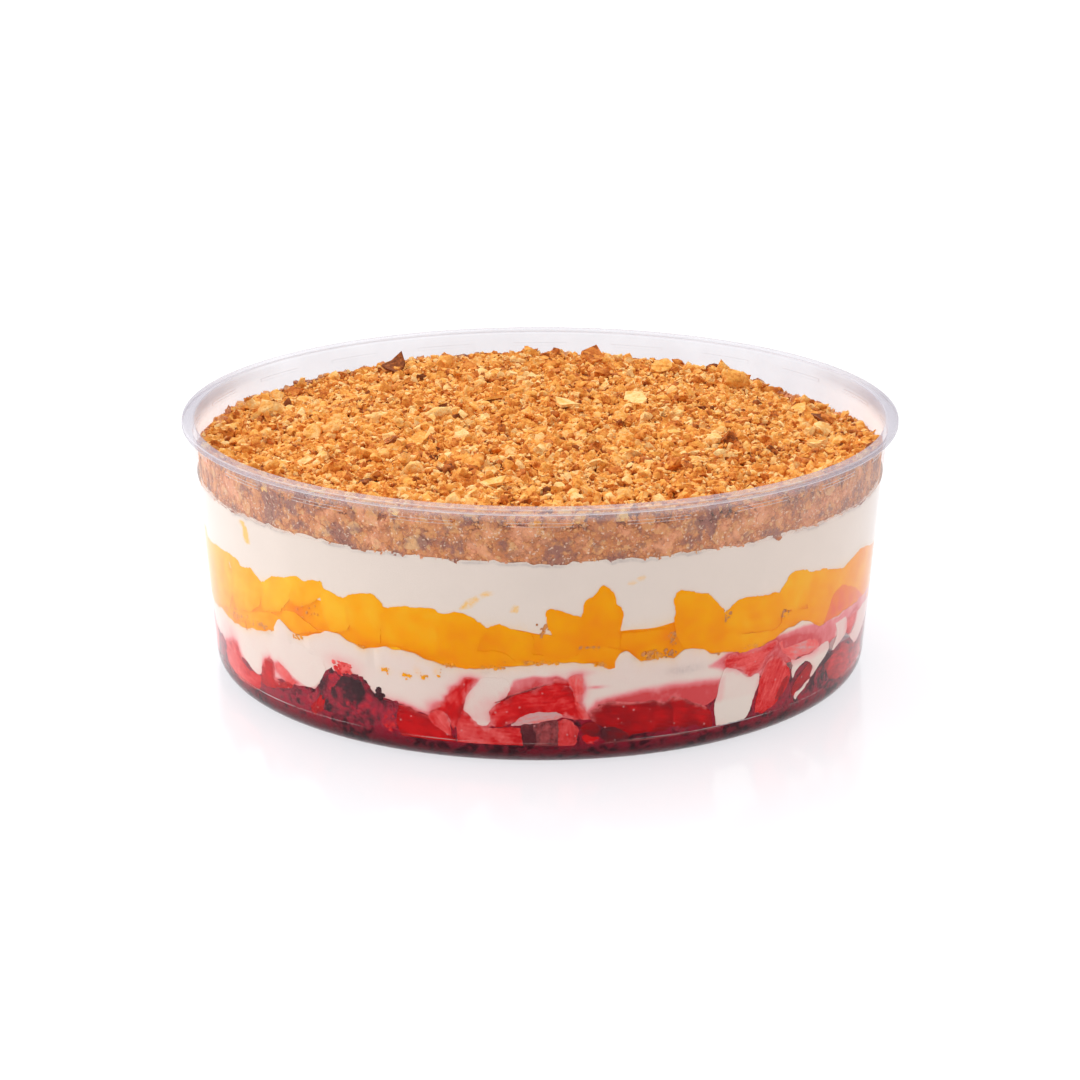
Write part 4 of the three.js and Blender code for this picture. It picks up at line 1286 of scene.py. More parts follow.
def tub_section(rim_radius, height):
    """The tub's section, from the axis under its floor round to the axis on its floor."""
    heel_out = wall_outside(HEEL_ROUND) - HEEL_ROUND
    heel_top = FLOOR_TOP + HEEL_ROUND
    heel_in = wall_outside(heel_top) - WALL_THICKNESS - HEEL_ROUND
    mouth = rim_radius - LIP_WIDTH
    under = height - LIP_DEPTH
    lug_rows = (LUG_LOW, LUG_LOW + LUG_EDGE, LUG_HIGH - LUG_EDGE, LUG_HIGH)
    neck = wall_outside(WALL_TOP)
    foot = FOOT_INNER_RADIUS
    section = [(0, FOOT_LIFT), (foot - FOOT_SLOPE, FOOT_LIFT), (foot, 0)]
    section += arc((heel_out, HEEL_ROUND), HEEL_ROUND, -90, 0, 10)
    outer_rows = (*HEEL_LINE, *WALL_ROWS, *FILM_ROWS, *lug_rows)
    section += [(wall_outside(row), row) for row in outer_rows]
    section += [(neck, WALL_TOP), (neck + LIP_FLARE, under)]
    section += arc((rim_radius - LIP_ROUND, under + LIP_ROUND), LIP_ROUND, -90, 0, 4)
    section += arc((rim_radius - LIP_ROUND, height - LIP_ROUND), LIP_ROUND, 0, 90, 4)
    section += arc((mouth + LIP_ROUND, height - LIP_ROUND), LIP_ROUND, 90, 180, 4)
    inner_rows = (WALL_TOP, *reversed(FILM_ROWS), *reversed(WALL_ROWS), INNER_FOOT_ROW)
    section += [(wall_outside(row) - WALL_THICKNESS, row) for row in inner_rows]
    section += arc((heel_in, heel_top), HEEL_ROUND, 0, -90, 10)
    section += [(0, FLOOR_TOP)]
    return section


def raise_lugs(bm):
    """Extrudes the low lugs from the wall's outer face."""
    pitch = 360 / LUG_COUNT
    middle = (LUG_LOW + LUG_HIGH) / 2
    outer = wall_outside(middle) - WALL_THICKNESS / 2
    chosen = []
    for face in bm.faces:
        centre = face.calc_center_median()
        bearing = bearing_of(centre.x, centre.y)
        in_arc = (bearing + LUG_ARC / 2) % pitch < LUG_ARC
        in_band = LUG_LOW < centre.z < LUG_HIGH
        if in_arc and in_band and math.hypot(centre.x, centre.y) > outer:
            chosen.append(face)
    pulled = bmesh.ops.extrude_face_region(bm, geom=chosen)["geom"]
    bmesh.ops.delete(bm, geom=chosen, context="FACES_ONLY")
    for vert in (item for item in pulled if isinstance(item, bmesh.types.BMVert)):
        away = Vector((vert.co.x, vert.co.y, 0)).normalized()
        vert.co += away * LUG_PROUD


def mark_edges(bm, rim_radius, height):
    """Marks the tub's haze, its painted warm glow and the painted highlights of its rounded edges.
    """
    film = bm.verts.layers.float.new("film")
    warm = bm.verts.layers.float.new("warm")
    marks = bm.verts.layers.float.new("edge")
    mouth = rim_radius - LIP_WIDTH
    corners = (
        (rim_radius, height, 0.45),
        (rim_radius, height - LIP_DEPTH, 0.9),
        (mouth, height, 0.15),
    )
    for vert in bm.verts:
        reach, level = math.hypot(vert.co.x, vert.co.y), vert.co.z
        bearing = bearing_of(vert.co.x, vert.co.y)
        back = float(smooth_step(abs(bearing), *BACK_FROM))
        side = float(smooth_step(abs(bearing - FILM_MIDDLE), *SIDE_FROM)) * (1 - back)
        # The haze that the sides add is painted reflection, and warm is the share of painted warm
        # glow
        at_front, by_side, by_back = LIP_FILM if level > WALL_TOP else WALL_FILM
        vert[film] = at_front + by_side * side + by_back * back
        vert[warm] = (LIP_PAINTED_GLOW * (1 - side) if level > WALL_TOP else 1) * (1 - back)
        # Painted highlights along the lip's rounded corners
        for radius, top, strength in corners:
            away = math.hypot(reach - radius, level - top)
            vert[marks] = max(vert[marks], strength * (LINE_PEAK - away / LINE_FADE))
        proud = reach - wall_outside(level)
        # Painted highlights on the lugs' top and bottom rows
        if LUG_LOW < level + 0.01 and level - 0.01 < LUG_HIGH and proud > LUG_PROUD / 2:
            inner_row = LUG_LOW + LUG_EDGE / 2 < level < LUG_HIGH - LUG_EDGE / 2
            vert[marks] = 0.0 if inner_row else 0.8 - 0.7 * back
        # The heel line: a clear strip with a wandering painted highlight
        if abs(level - sum(HEEL_LINE) / 2) < LUG_EDGE and proud > -WALL_THICKNESS / 2:
            vert[film] = 0.0
            vert[marks] = max(0.0, 0.3 + float(wander(bearing, 0.4, (4, 9, 21), 50)))


def part_haze(bm):
    """Parts the hazy wall from the clear wall under it, each closed by a ring where they meet."""
    upper = [face for face in bm.faces if face.calc_center_median().z > FILM_LOW]
    bmesh.ops.split(bm, geom=upper)
    open_edges = [edge for edge in bm.edges if edge.is_boundary]
    for above in (True, False):
        loops = [
            edge
            for edge in open_edges
            if (edge.link_faces[0].calc_center_median().z > FILM_LOW) == above
        ]
        bmesh.ops.bridge_loops(bm, edges=loops)
        if above:
            ring = list({vert for edge in loops for vert in edge.verts})
            bmesh.ops.translate(bm, verts=ring, vec=(0, 0, SHELL_GAP))
    bmesh.ops.recalc_face_normals(bm, faces=bm.faces[:])


def build_tub(settings):
    """The clear tub with its hazy lip, lugs, heel and foot ring."""
    bm = bmesh.new()
    rim_radius = settings.rim_diameter / 2 / MM - RIM_CLEARANCE
    height = settings.height / MM
    spin_section(bm, tub_section(rim_radius, height), TUB_STEPS)
    raise_lugs(bm)
    part_haze(bm)
    mark_edges(bm, rim_radius, height)
    for face in bm.faces:
        level = face.calc_center_median().z
        outer = face.calc_center_median().xy.length > wall_outside(level) - WALL_THICKNESS / 2
        in_line = outer and HEEL_LINE[0] < level < HEEL_LINE[1]
        face.material_index = int(level > FILM_LOW or in_line)
    bm.transform(Matrix.Scale(MM, 4))
    mesh = bpy.data.meshes.new("clear_tub")
    bm.to_mesh(mesh)
    bm.free()
    materials = [clear_plastic(settings), hazy_plastic(settings)]
    place_piece(mesh, materials, "tub", TUB_EDGE)


def build_jelly(settings):
    """The jelly that the berries lie in, down to the tub's heel."""
    floor = FLOOR_TOP - HEEL_PROUD

    def bottom(bearing):
        return np.full_like(bearing, floor)

    def ceiling(bearing):
        return JELLY_TOP + wander(bearing, 0.5, (7, 19, 33), 2)

    batch = Batch()
    batch.add(*layer_body(bottom, ceiling, jelly_reach, 20, (floor, JELLY_TOP)))
    batch.piece("berry_jelly", jelly_material(settings), "berries", "berry_layer")


def random_cut(draw, bearing, low, high, width, lean):
    """Corners of an uneven cut of fruit round the back of the tub."""
    count = int(draw.integers(5, 8))
    middle = (low + high) / 2
    corners = []
    for corner in range(count):
        turn = TAU * (corner + draw.uniform(-0.25, 0.25)) / count
        reach = draw.uniform(0.82, 1.08)
        across = math.cos(turn) * width / 2 * reach
        up = math.sin(turn) * (high - low) / 2 * reach
        corners.append((bearing + (across + up * lean) / DEGREE, max(middle + up, CUT_LOWEST)))
    return corners


def on_cream(spot, name=None):
    """1 where a flat point has cream round it, not jelly or another cut, and 0 elsewhere."""
    clear = smooth_step(spot[:, 1] - cream_hem(spot[:, 0] / DEGREE), -0.8, 0.2)
    for other, (_, _, corners) in STRAWBERRY_CUTS.items():
        if other != name:
            clear *= smooth_step(-depth_in(spot, corners), 0.0, 0.6)
    return clear


def build_strawberries(settings):
    """Cut strawberries pressed against the wall, drawn at the front and random at the back."""
    batch = Batch("tone", "edge", "fibre", "blend")
    draw = np.random.default_rng(settings.seed)
    for name, (tone, order, corners) in STRAWBERRY_CUTS.items():

        def over_cream(spot, name=name):
            return on_cream(spot, name)

        proud, veil = FRUIT_PROUD + order * PROUD_STEP, VEILED.get(name, 0)
        press_cut(batch, corners, proud, draw, tone, over=over_cream, veil=veil)
    bearing = 84.0
    while bearing < 284:
        width = draw.uniform(9, 22)
        low = draw.uniform(3.5, 7.5)
        high = draw.uniform(14.5, 23)
        tone = draw.choice([0.32, 0.4, 0.5, 0.56, 0.68])
        cut = random_cut(draw, bearing, low, high, width, draw.uniform(-0.5, 0.5))
        order = int(draw.integers(0, 9))
        proud = FRUIT_PROUD + order * PROUD_STEP
        press_cut(batch, cut, proud, draw, tone, over=on_cream)
        if draw.random() < 0.5:
            heart = random_cut(draw, bearing, low + 3, high - 4, width * 0.5, 0.2)
            press_cut(batch, heart, proud + PROUD_STEP, draw, tone + 0.26)
        bearing += width / DEGREE * draw.uniform(0.8, 1.25)
    material = strawberry_material(settings)
    batch.piece("strawberry_cuts", material, "berries", "berry_layer", sharp=CUT_EDGE)


def drupelet_cluster(batch, draw, bearing, height, size, count, tone):
    """A pressed bramble or raspberry: a cluster of small round drupelets on the wall."""
    for _ in range(count):
        across, up = draw.normal(0, size * 0.42, 2)
        if math.hypot(across, up) > size:
            continue
        bm = bmesh.new()
        bmesh.ops.create_icosphere(bm, subdivisions=2, radius=draw.uniform(0.6, 1.1))
        points, faces = arrays_from(bm)
        flat = points + (bearing * DEGREE + across, 0.7, max(height + up, DRUPELET_LOWEST))
        flat[:, 1] = np.maximum(flat[:, 1], draw.uniform(0, 0.1))
        placed = bent_to_wall(flat, FRUIT_PROUD + 6 * PROUD_STEP)
        batch.add(placed, faces, tone=tone + draw.uniform(-0.08, 0.08))


def build_dark_berries(settings):
    """Dark berries and raspberry pieces cooked into the jelly."""
    batch = Batch("tone")
    draw = np.random.default_rng(settings.seed + 1)
    for tone, order, corners in DARK_CUTS.values():
        press_cut(batch, corners, FRUIT_PROUD + order * PROUD_STEP, draw, tone, ragged=0.2)
    for bearing, height, size, count, tone in BERRY_CLUSTERS:
        drupelet_cluster(batch, draw, bearing, height, size, count, tone)
    for _ in range(16):
        bearing, height = draw.uniform(*BACK_ARC), draw.uniform(5, 15)
        size, tone = draw.uniform(3, 5), draw.uniform(0.1, 0.6)
        drupelet_cluster(batch, draw, bearing, height, size, 40, tone)
    material = dark_berry_material(settings)
    batch.piece("dark_berries", material, "berries", "berry_layer", sharp=CUT_EDGE)


# Juice stains on the lower cream: bearing, height, reach across, reach up, strength
STAINS = [
    (-10.2, 12.5, 1.2, 2.4, 0.3), (-17.5, 14.5, 1.8, 1.6, 0.3), (-8.4, 14, 1.6, 3, 0.4),
    (-33, 21.5, 5, 2.2, 0.3), (-66, 17, 6, 3, 0.2), (6.5, 24.4, 3, 0.8, 0.2),
    (9, 20.4, 2, 0.4, 0.5), (50, 22, 9, 2.4, 0.35), (68, 19, 10, 5, 0.4),
]


def patch_at(bearing, height, middle, level, across, up):
    """How strong a soft round patch is: 1 at its middle, falling off to 0."""
    away = (bearing - middle) * DEGREE / across
    return np.exp(-(away**2) - ((height - level) / up) ** 2)


def halo_at(spot):
    """The pink that cut fruit gives the cream close to it."""
    total = np.zeros(len(spot))
    for _, _, corners in STRAWBERRY_CUTS.values():
        away = np.maximum(-depth_in(spot, corners), 0)
        total = np.maximum(total, 0.75 * np.exp(-away / 0.7))
    return total


def stains_at(spot):
    """How far berry juice has coloured the cream at flat places on the wall."""
    bearing, height = spot[:, 0] / DEGREE, spot[:, 1]
    total = np.full(len(spot), 0.05)
    for *patch, strength in STAINS:
        total += strength * patch_at(bearing, height, *patch)
    for strength, softness, corners in SOAKED_CREAM:
        total += strength * smooth_step(depth_in(spot, corners), -softness, softness * 0.6)
    back = np.maximum(0, wander(bearing, 0.5, (6, 11, 19), 6)) * (height < 22)
    return total + back * smooth_step(np.abs(bearing), 80, 88)


# Painted shade in the lower cream's hollows: bearing, height, reach across, reach up, strength
HOLLOW_SHADES = [
    (-41, 20, 2.6, 2, 0.55), (-52, 23.6, 3.4, 0.9, 0.4), (23.5, 22.8, 4.6, 1.2, 0.5),
    (30.4, 22.9, 2.8, 0.8, 0.35), (-2.4, 23, 2.4, 0.5, 0.4), (16, 27.6, 2.4, 0.9, 0.5),
    (-60, 24.6, 3, 0.9, 0.35), (-8.5, 24.5, 2, 0.6, 0.25),
]


def paint_cream(points, juice_edge, hem, film):
    """How much juice, stain and painted hollow shade each point of a body of cream shows."""
    bearing, height = bearings_of(points), points[:, 2]
    spot = np.column_stack([bearing * DEGREE, height])
    juice = 0.3 * np.exp(-np.abs(height - juice_edge(bearing)) / 1.2)
    stain = hollow = np.zeros(len(points))
    if hem is not None:
        over = np.maximum(height - hem(bearing), 0)
        stain = stains_at(spot) + 0.35 * np.exp(-over / 0.8) + halo_at(spot)
        for *patch, strength in HOLLOW_SHADES:
            hollow = hollow + strength * patch_at(bearing, height, *patch)
        for middle, level, across, up, _, tone in SOAKED_CLUSTERS:
            ring = patch_at(bearing, height, middle, level, across * 1.1, up * 1.3)
            juice = juice + 0.45 * tone * ring
    if film is not None:
        # A painted shadow line in patches, just under the crumbs' floor
        under = film(bearing) - height
        patchy = smooth_step(wander(bearing, 1.0, (7, 15, 31, 64), 44), -0.5, 0.4)
        hollow = hollow + 0.6 * patchy * np.exp(-(((under - 0.5) / 0.35) ** 2))
    limits = {"juice": (juice, 0.9), "stain": (stain, 1.2), "hollow": (hollow, 0.8)}
    return {name: np.minimum(value, most) for name, (value, most) in limits.items()}


def build_lower_cream(settings, material):
    """Cream over the berries, with the runs that slip down between them."""
    batch = Batch("juice", "stain", "hollow")
    points, faces = layer_body(
        cream_hem, peach_floor, cream_reach, 40, LOWER_CREAM_CORE, steps=720
    )
    batch.add(points, faces, **paint_cream(points, peach_floor, cream_hem, None))
    batch.piece("lower_cream_body", material, "cream", "lower_cream")
    runs = Batch("juice", "stain", "hollow")
    draw = np.random.default_rng(settings.seed)
    for order, corners in CREAM_RUNS.values():
        batch_run(runs, corners, RUN_PROUD + order * PROUD_STEP, draw)
    for _ in range(26):
        bearing = draw.uniform(86, 274)
        top = float(cream_hem(bearing)) + 3
        width, fall = draw.uniform(2, 5), draw.uniform(3, 9)
        corners = [
            (bearing - width, top),
            (bearing + width, top + 1),
            (bearing + width * 0.4, top - fall),
            (bearing - width * 0.2, max(top - fall - 2, 4)),
        ]
        batch_run(runs, corners, CREAM_PROUD + draw.uniform(0.05, 0.3), draw)
    runs.piece("cream_runs", material, "cream", "lower_cream", sharp=CUT_EDGE)


def batch_run(batch, corners, proud, draw):
    """Adds one run of cream to the batch, with the stain that the fruit beside it gives."""
    single = Batch("edge")
    press_cut(single, corners, proud, draw, 0.5, softness=2, ragged=0.08)
    points = single.points[0]
    spot = np.column_stack([bearings_of(points) * DEGREE, points[:, 2]])
    stain = np.minimum(stains_at(spot) * (points[:, 2] > 12), 0.2) + 0.4 * halo_at(spot)
    batch.add(points, single.faces, stain=stain)


def build_peach(settings):
    """Diced peach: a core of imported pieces, with the dice at the wall over it."""
    batch = Batch("tone", "edge")
    draw = np.random.default_rng(settings.seed)

    def core_low(bearing):
        return peach_floor(bearing) - 0.8

    def core_high(bearing):
        return peach_ceiling(bearing) + 0.8

    points, faces = layer_body(core_low, core_high, jelly_reach, 8, PEACH_CORE)
    patch = [0.48 + 0.12 * noise.noise(Vector(point) * 0.16) for point in points]
    batch.add(points, faces, tone=np.array(patch), edge=1.0)
    for tone, order, corners in PEACH_CUTS.values():
        press_cut(batch, corners, FRUIT_PROUD + order * PROUD_STEP, draw, tone, slope=0.12)
    bearing = 79.0
    while bearing < 281:
        width = draw.uniform(5.5, 12)
        low = float(peach_floor(bearing)) - draw.uniform(-3, 1.5)
        high = float(peach_ceiling(bearing)) + draw.uniform(0.5, 7)
        lean = draw.uniform(-3, 3)
        corners = dice_corners(draw, bearing, bearing + width, low, high - lean, high + lean)
        proud = FRUIT_PROUD + draw.integers(0, 12) * PROUD_STEP
        press_cut(batch, corners, proud, draw, draw.uniform(0.4, 0.8), slope=0.12)
        bearing += width * draw.uniform(0.5, 0.85)
    material = peach_material(settings)
    batch.piece("peach_dice", material, "peach", "peach_layer", sharp=CUT_EDGE)
    build_soaked_crumbs(settings, draw)


def build_soaked_crumbs(settings, draw):
    """Crumbs soaked in juice, in small clusters among the peach and along its underside."""
    batch = Batch("tone")
    clusters = list(SOAKED_CLUSTERS)
    for _ in range(60):
        bearing = draw.uniform(*BACK_ARC)
        level = float(peach_floor(bearing)) + draw.uniform(-1, 6)
        reach = draw.uniform(1, 4), draw.uniform(0.6, 1.6)
        clusters.append((bearing, level, *reach, 22, draw.uniform(0.2, 0.9)))
    shapes = crumb_shapes(draw, 12, broken_lump)
    for bearing, level, across, up, count, tone in clusters:
        places = np.column_stack([draw.normal(0, across / 2, count), draw.normal(0, up / 2, count)])
        places += (bearing * DEGREE, level)
        sizes = 0.4 + 1.2 * draw.beta(1.0, 3.0, count)
        inward = sizes * draw.uniform(0.0, 0.45, count) - 9 * PROUD_STEP
        flat = np.column_stack([places[:, 0], inward, places[:, 1]])
        tones = mixed_tones(draw, tone, 0.12, count)
        turns = turned(draw, count, 180)
        scatter(batch, draw, shapes, bent_to_wall(flat, FRUIT_PROUD), sizes, turns, tones, 0.8, 10)
    batch.piece("soaked_crumbs", sponge_material(settings), "peach", "peach_layer", sharp=60)


def dice_corners(draw, left, right, low, high_left, high_right):
    """Corners of one die of peach, knocked a little out of square."""
    width = right - left

    def loose(amount):
        return draw.uniform(-amount, amount)

    return [
        (left + width * 0.1, low + loose(0.6)),
        (right - width * 0.1, low + loose(0.6)),
        (right + loose(0.3), (low + high_right) / 2 + loose(2)),
        (right - width * draw.uniform(0.1, 0.3), high_right),
        (left + width * (0.5 + loose(0.2)), max(high_left, high_right) + draw.uniform(0, 1)),
        (left + width * draw.uniform(0.05, 0.2), high_left),
        (left + loose(0.3), (low + high_left) / 2 + loose(2)),
    ]


# Smears of peach juice on the upper cream: strength and (bearing, height) corners
CREAM_SMEARS = [
    (1.0, [(-58.2, 51), (-57, 52), (-55, 52.2), (-53.6, 49.6), (-53.2, 46), (-54.4, 45.2),
        (-55.6, 46.4), (-55.6, 50)]),
    (0.8, [(-12.8, 40.6), (-11.8, 43), (-8.6, 45.8), (-6.8, 45.6), (-7.2, 44.4), (-9.6, 42.4),
        (-10.6, 40.4), (-12, 39.8)]),
    (0.8, [(-4.8, 39.8), (-3.2, 39.8), (-2.9, 42), (-4.4, 42.2)]),
    (0.5, [(12.8, 47.2), (16.6, 49), (16.8, 47.6), (13.6, 46.2)]),
]


def build_upper_cream(settings, material):
    """Cream over the peach, with a few smears of peach juice on it."""
    batch = Batch("juice", "stain", "hollow")
    points, faces = layer_body(peach_ceiling, crumb_floor, cream_reach, 34, UPPER_CREAM_CORE)
    batch.add(points, faces, **paint_cream(points, peach_ceiling, None, crumb_floor))
    draw = np.random.default_rng(settings.seed + 9)
    for strength, corners in CREAM_SMEARS:
        single = Batch("edge")
        press_cut(single, corners, SMEAR_PROUD, draw, 0.5, depth=0.6, ragged=0.15)
        juice = strength * smooth_step(single.values["edge"][0], 0.0, 0.19)
        batch.add(single.points[0], single.faces, juice=juice)
    batch.piece("upper_cream_body", material, "cream", "upper_cream", sharp=CUT_EDGE)


# -------- Crumbs --------


def bank_height(bearing):
    """How far the crumbs are banked up against the wall at the front."""
    return 3.2 * smooth_step(-np.abs(bearing), -96, -60)


def crumb_level(x, y):
    """Height of the crumbs' bed, with soft heaps and hollows in it."""
    broad = noise.noise(Vector((x, y, 4)) * 0.035) * 0.9
    heap = noise.noise(Vector((x, y, 19)) * 0.11) * 1.0
    bearing, reach = bearing_of(x, y), math.hypot(x, y)
    edge = float(crumb_surface(bearing)) - 0.3
    fade = float(smooth_step(reach, 52, 90))
    banked = bank_height(bearing) * float(smooth_step(reach, 79, 89))
    return CRUMB_SURFACE + (edge - CRUMB_SURFACE) * fade + banked + broad + heap


# The largest crumbs on top: x, y, size, lift and tone
LARGE_LUMPS = [
    (-60.4, -3.4, 6.5, 0.8, 0.72), (-27.7, 12.2, 5.6, 0.8, 0.9), (-33.1, -42.1, 6.2, 1.0, 0.82),
    (-69.5, 45.4, 5.4, 1.0, 0.3), (-73.3, 21.9, 6.4, 0.8, 0.78), (-27.2, 74.8, 6, 1.2, 0.55),
    (35.4, 67.4, 5.6, 1.4, 0.6), (56.7, 56.6, 7, 1.6, 0.58), (45.5, -12.5, 5.4, 0.6, 0.84),
    (49.9, -13.5, 4.4, 0.7, 0.12), (41.1, -31.0, 3.6, 0.6, 0.8), (60.7, -22.4, 3.2, 0.7, 0.05),
    (67.5, -31.0, 4.4, 0.7, 0.3), (3.2, -57.6, 4.8, 0.7, 0.62), (75.2, 3.8, 5.4, 0.7, 0.88),
    (-48, -27, 5, 0.6, 0.5), (12, 45, 5, 0.8, 0.5), (-8, -20, 4.8, 0.6, 0.7),
    (22, 8, 4.6, 0.6, 0.6),
]

# The largest flakes, in the same way
LARGE_FLAKES = [
    (-41.8, 68.6, 8, 2.4, 0.02), (-13.9, 31.8, 7, 1.2, 0.66), (-20.9, -27.2, 7.5, 0.9, 0.5),
    (-33.1, -13.5, 8, 0.9, 0.6), (-20.6, 68.6, 7.5, 1.4, 0.4), (15.8, 76.9, 8, 2.6, 0.3),
    (71.6, 30.7, 7.5, 1.6, 0.72), (77.4, 22.4, 7, 2.0, 0.0), (7.4, 22.9, 7, 1.4, 0.86),
    (26.9, 29.5, 7.5, 1.4, 0.9), (34.4, -2.4, 6, 1.2, 0.7), (35.7, -55.9, 5.8, 1.2, 0.5),
    (-12, -55, 6, 1.0, 0.8), (55, 8, 6, 1.0, 0.4), (-52, 34, 6.5, 1.2, 0.5), (4, 62, 6, 1.4, 0.3),
]


def build_crumb_bed(settings):
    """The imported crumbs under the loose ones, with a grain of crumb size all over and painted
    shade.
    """
    rings = tuple(np.linspace(0, BED_REACH, BED_RINGS))
    points, faces = layer_body(crumb_floor, crumb_surface, jelly_reach, 16, CRUMB_CORE, rings)
    grain = np.array([noise.noise(Vector(point) * 0.55) for point in points])
    finer = np.array([noise.noise(Vector(point) * 1.3) for point in points])
    share = np.hypot(points[:, 0], points[:, 1]) / wall_inside(points[:, 2])
    level = np.array([crumb_level(x, y) for x, y in points[:, :2]])
    on_top = (points[:, 2] > BED_TOP_FROM) & (share < 0.99)
    points[:, 2] = np.where(on_top, level - 1.0 + grain * 0.5 + finer * 0.3, points[:, 2])
    batch = Batch("tone")
    # Painted shade: the bed's low tone makes the gaps between loose crumbs read as shadowed
    batch.add(points, faces, tone=0.26 + 0.2 * grain + 0.12 * finer)
    material = crumb_material(settings, "packed_crumbs", 0.5)
    batch.piece("crumb_bed", material, "crumb", "crumb_topping")


def crumb_shapes(draw, count, maker):
    """A handful of different crumbs of about unit size, in triangles."""
    shapes = []
    for _ in range(count):
        bm = maker(draw)
        bmesh.ops.triangulate(bm, faces=bm.faces[:])
        shapes.append(arrays_from(bm))
    return shapes


def broken_block(draw):
    """A small broken crumb with twelve faces."""
    bm = bmesh.new()
    bmesh.ops.create_cube(bm, size=1)
    for vert in bm.verts:
        vert.co += Vector(draw.uniform(-0.26, 0.26, 3))
    return bm


def broken_lump(draw):
    """A rough crumb with chipped faces."""
    bm = bmesh.new()
    bmesh.ops.create_icosphere(bm, subdivisions=1, radius=0.56)
    for vert in bm.verts:
        vert.co *= draw.uniform(0.76, 1.24)
    chip(bm, draw, 2, 0.34, 0.5)
    return bm


def chip(bm, draw, count, least, most):
    """Breaks flat faces off a lump, each at a distance from its middle."""
    for _ in range(count):
        facing = Vector(draw.normal(0, 1, 3)).normalized()
        reach = draw.uniform(least, most)
        for vert in bm.verts:
            over = vert.co.dot(facing) - reach
            if over > 0:
                vert.co -= facing * over


def craggy_lump(draw):
    """A larger lump baked together from several crumbs and broken off."""
    bm = bmesh.new()
    bmesh.ops.create_icosphere(bm, subdivisions=2, radius=0.56)
    shift = Vector(draw.uniform(0, 50, 3))
    for vert in bm.verts:
        vert.co *= 1 + noise.noise(vert.co * 2.6 + shift) * 0.7
    chip(bm, draw, 4, 0.22, 0.42)
    for vert in bm.verts:
        vert.co *= 1 + noise.noise(vert.co * 8 + shift) * 0.16
    return bm


def curled_flake(draw):
    """A thin broken flake, bent one way."""
    bm = bmesh.new()
    corners = int(draw.integers(4, 8))
    bmesh.ops.create_circle(bm, cap_ends=True, segments=corners, radius=0.58)
    for vert in bm.verts:
        vert.co *= draw.uniform(0.6, 1.3)
        vert.co.y *= 0.7
    bmesh.ops.poke(bm, faces=bm.faces[:])
    bmesh.ops.recalc_face_normals(bm, faces=bm.faces[:])
    bend = draw.uniform(0.1, 0.8)
    for vert in bm.verts:
        vert.co.z = bend * (vert.co.x**2 - 0.1) + draw.uniform(-0.04, 0.04)
    bmesh.ops.solidify(bm, geom=bm.faces[:], thickness=0.15)
    bmesh.ops.recalc_face_normals(bm, faces=bm.faces[:])
    return bm


def turned(draw, count, tilt):
    """Random turns: all the way round, and tipped by up to tilt degrees."""
    spin = draw.uniform(0, TAU, count)
    tip = np.radians(draw.uniform(0, tilt, count))
    toward = draw.uniform(0, TAU, count)
    axis = np.column_stack([np.cos(toward), np.sin(toward), np.zeros(count)])
    cos, sin = np.cos(tip)[:, None, None], np.sin(tip)[:, None, None]
    cross = np.zeros((count, 3, 3))
    cross[:, 0, 2], cross[:, 1, 2] = axis[:, 1], -axis[:, 0]
    cross[:, 2, 0], cross[:, 2, 1] = -axis[:, 1], axis[:, 0]
    outer = axis[:, :, None] * axis[:, None, :]
    tipped = cos * np.eye(3) + sin * cross + (1 - cos) * outer
    flat = np.zeros((count, 3, 3))
    flat[:, 0, 0] = flat[:, 1, 1] = np.cos(spin)
    flat[:, 0, 1], flat[:, 1, 0] = -np.sin(spin), np.sin(spin)
    flat[:, 2, 2] = 1
    return tipped @ flat


def scatter(batch, draw, shapes, places, sizes, turns, tones, squash, steps_out=0):
    """Adds one crumb at each place, kept under the lip's top and so many steps into the wall."""
    kinds = draw.integers(0, len(shapes), len(places))
    for kind, (points, faces) in enumerate(shapes):
        mine = np.flatnonzero(kinds == kind)
        if not len(mine):
            continue
        stretch = sizes[mine, None] * draw.uniform(0.75, 1.25, (len(mine), 3))
        stretch[:, 2] *= squash
        shaped = points[None] * stretch[:, None]
        placed = np.einsum("nij,nkj->nki", turns[mine], shaped) + places[mine, None]
        flat = placed.reshape(-1, 3)
        reach = np.hypot(flat[:, 0], flat[:, 1])
        most = wall_inside(flat[:, 2]) + FRUIT_PROUD + steps_out * PROUD_STEP
        flat[:, :2] *= np.minimum(1, most / reach)[:, None]
        flat[:, 2] = np.minimum(flat[:, 2], TUB_HIGH.z - CRUMB_HEADROOM)
        steps = np.arange(len(mine))[:, None, None] * len(points)
        corners = (np.array(faces)[None] + steps).reshape(-1, len(faces[0]))
        batch.add(flat, corners.tolist(), tone=np.repeat(tones[mine], len(points)))


def mixed_tones(draw, middle, spread, count):
    """Random tones from 0 to 1 round a middle one."""
    return np.clip(draw.normal(middle, spread, count), 0, 1)


def strewn(draw, count, sink, rise):
    """Random places on the crumbs' surface, each sunk or raised by up to so much."""
    radius = STREWN_RADIUS * np.sqrt(draw.uniform(0, 1, count))
    turn = draw.uniform(0, TAU, count)
    x, y = radius * np.sin(turn), -radius * np.cos(turn)
    level = np.array([crumb_level(*place) for place in zip(x, y)])
    return np.column_stack([x, y, level + draw.uniform(-sink, rise, count)])


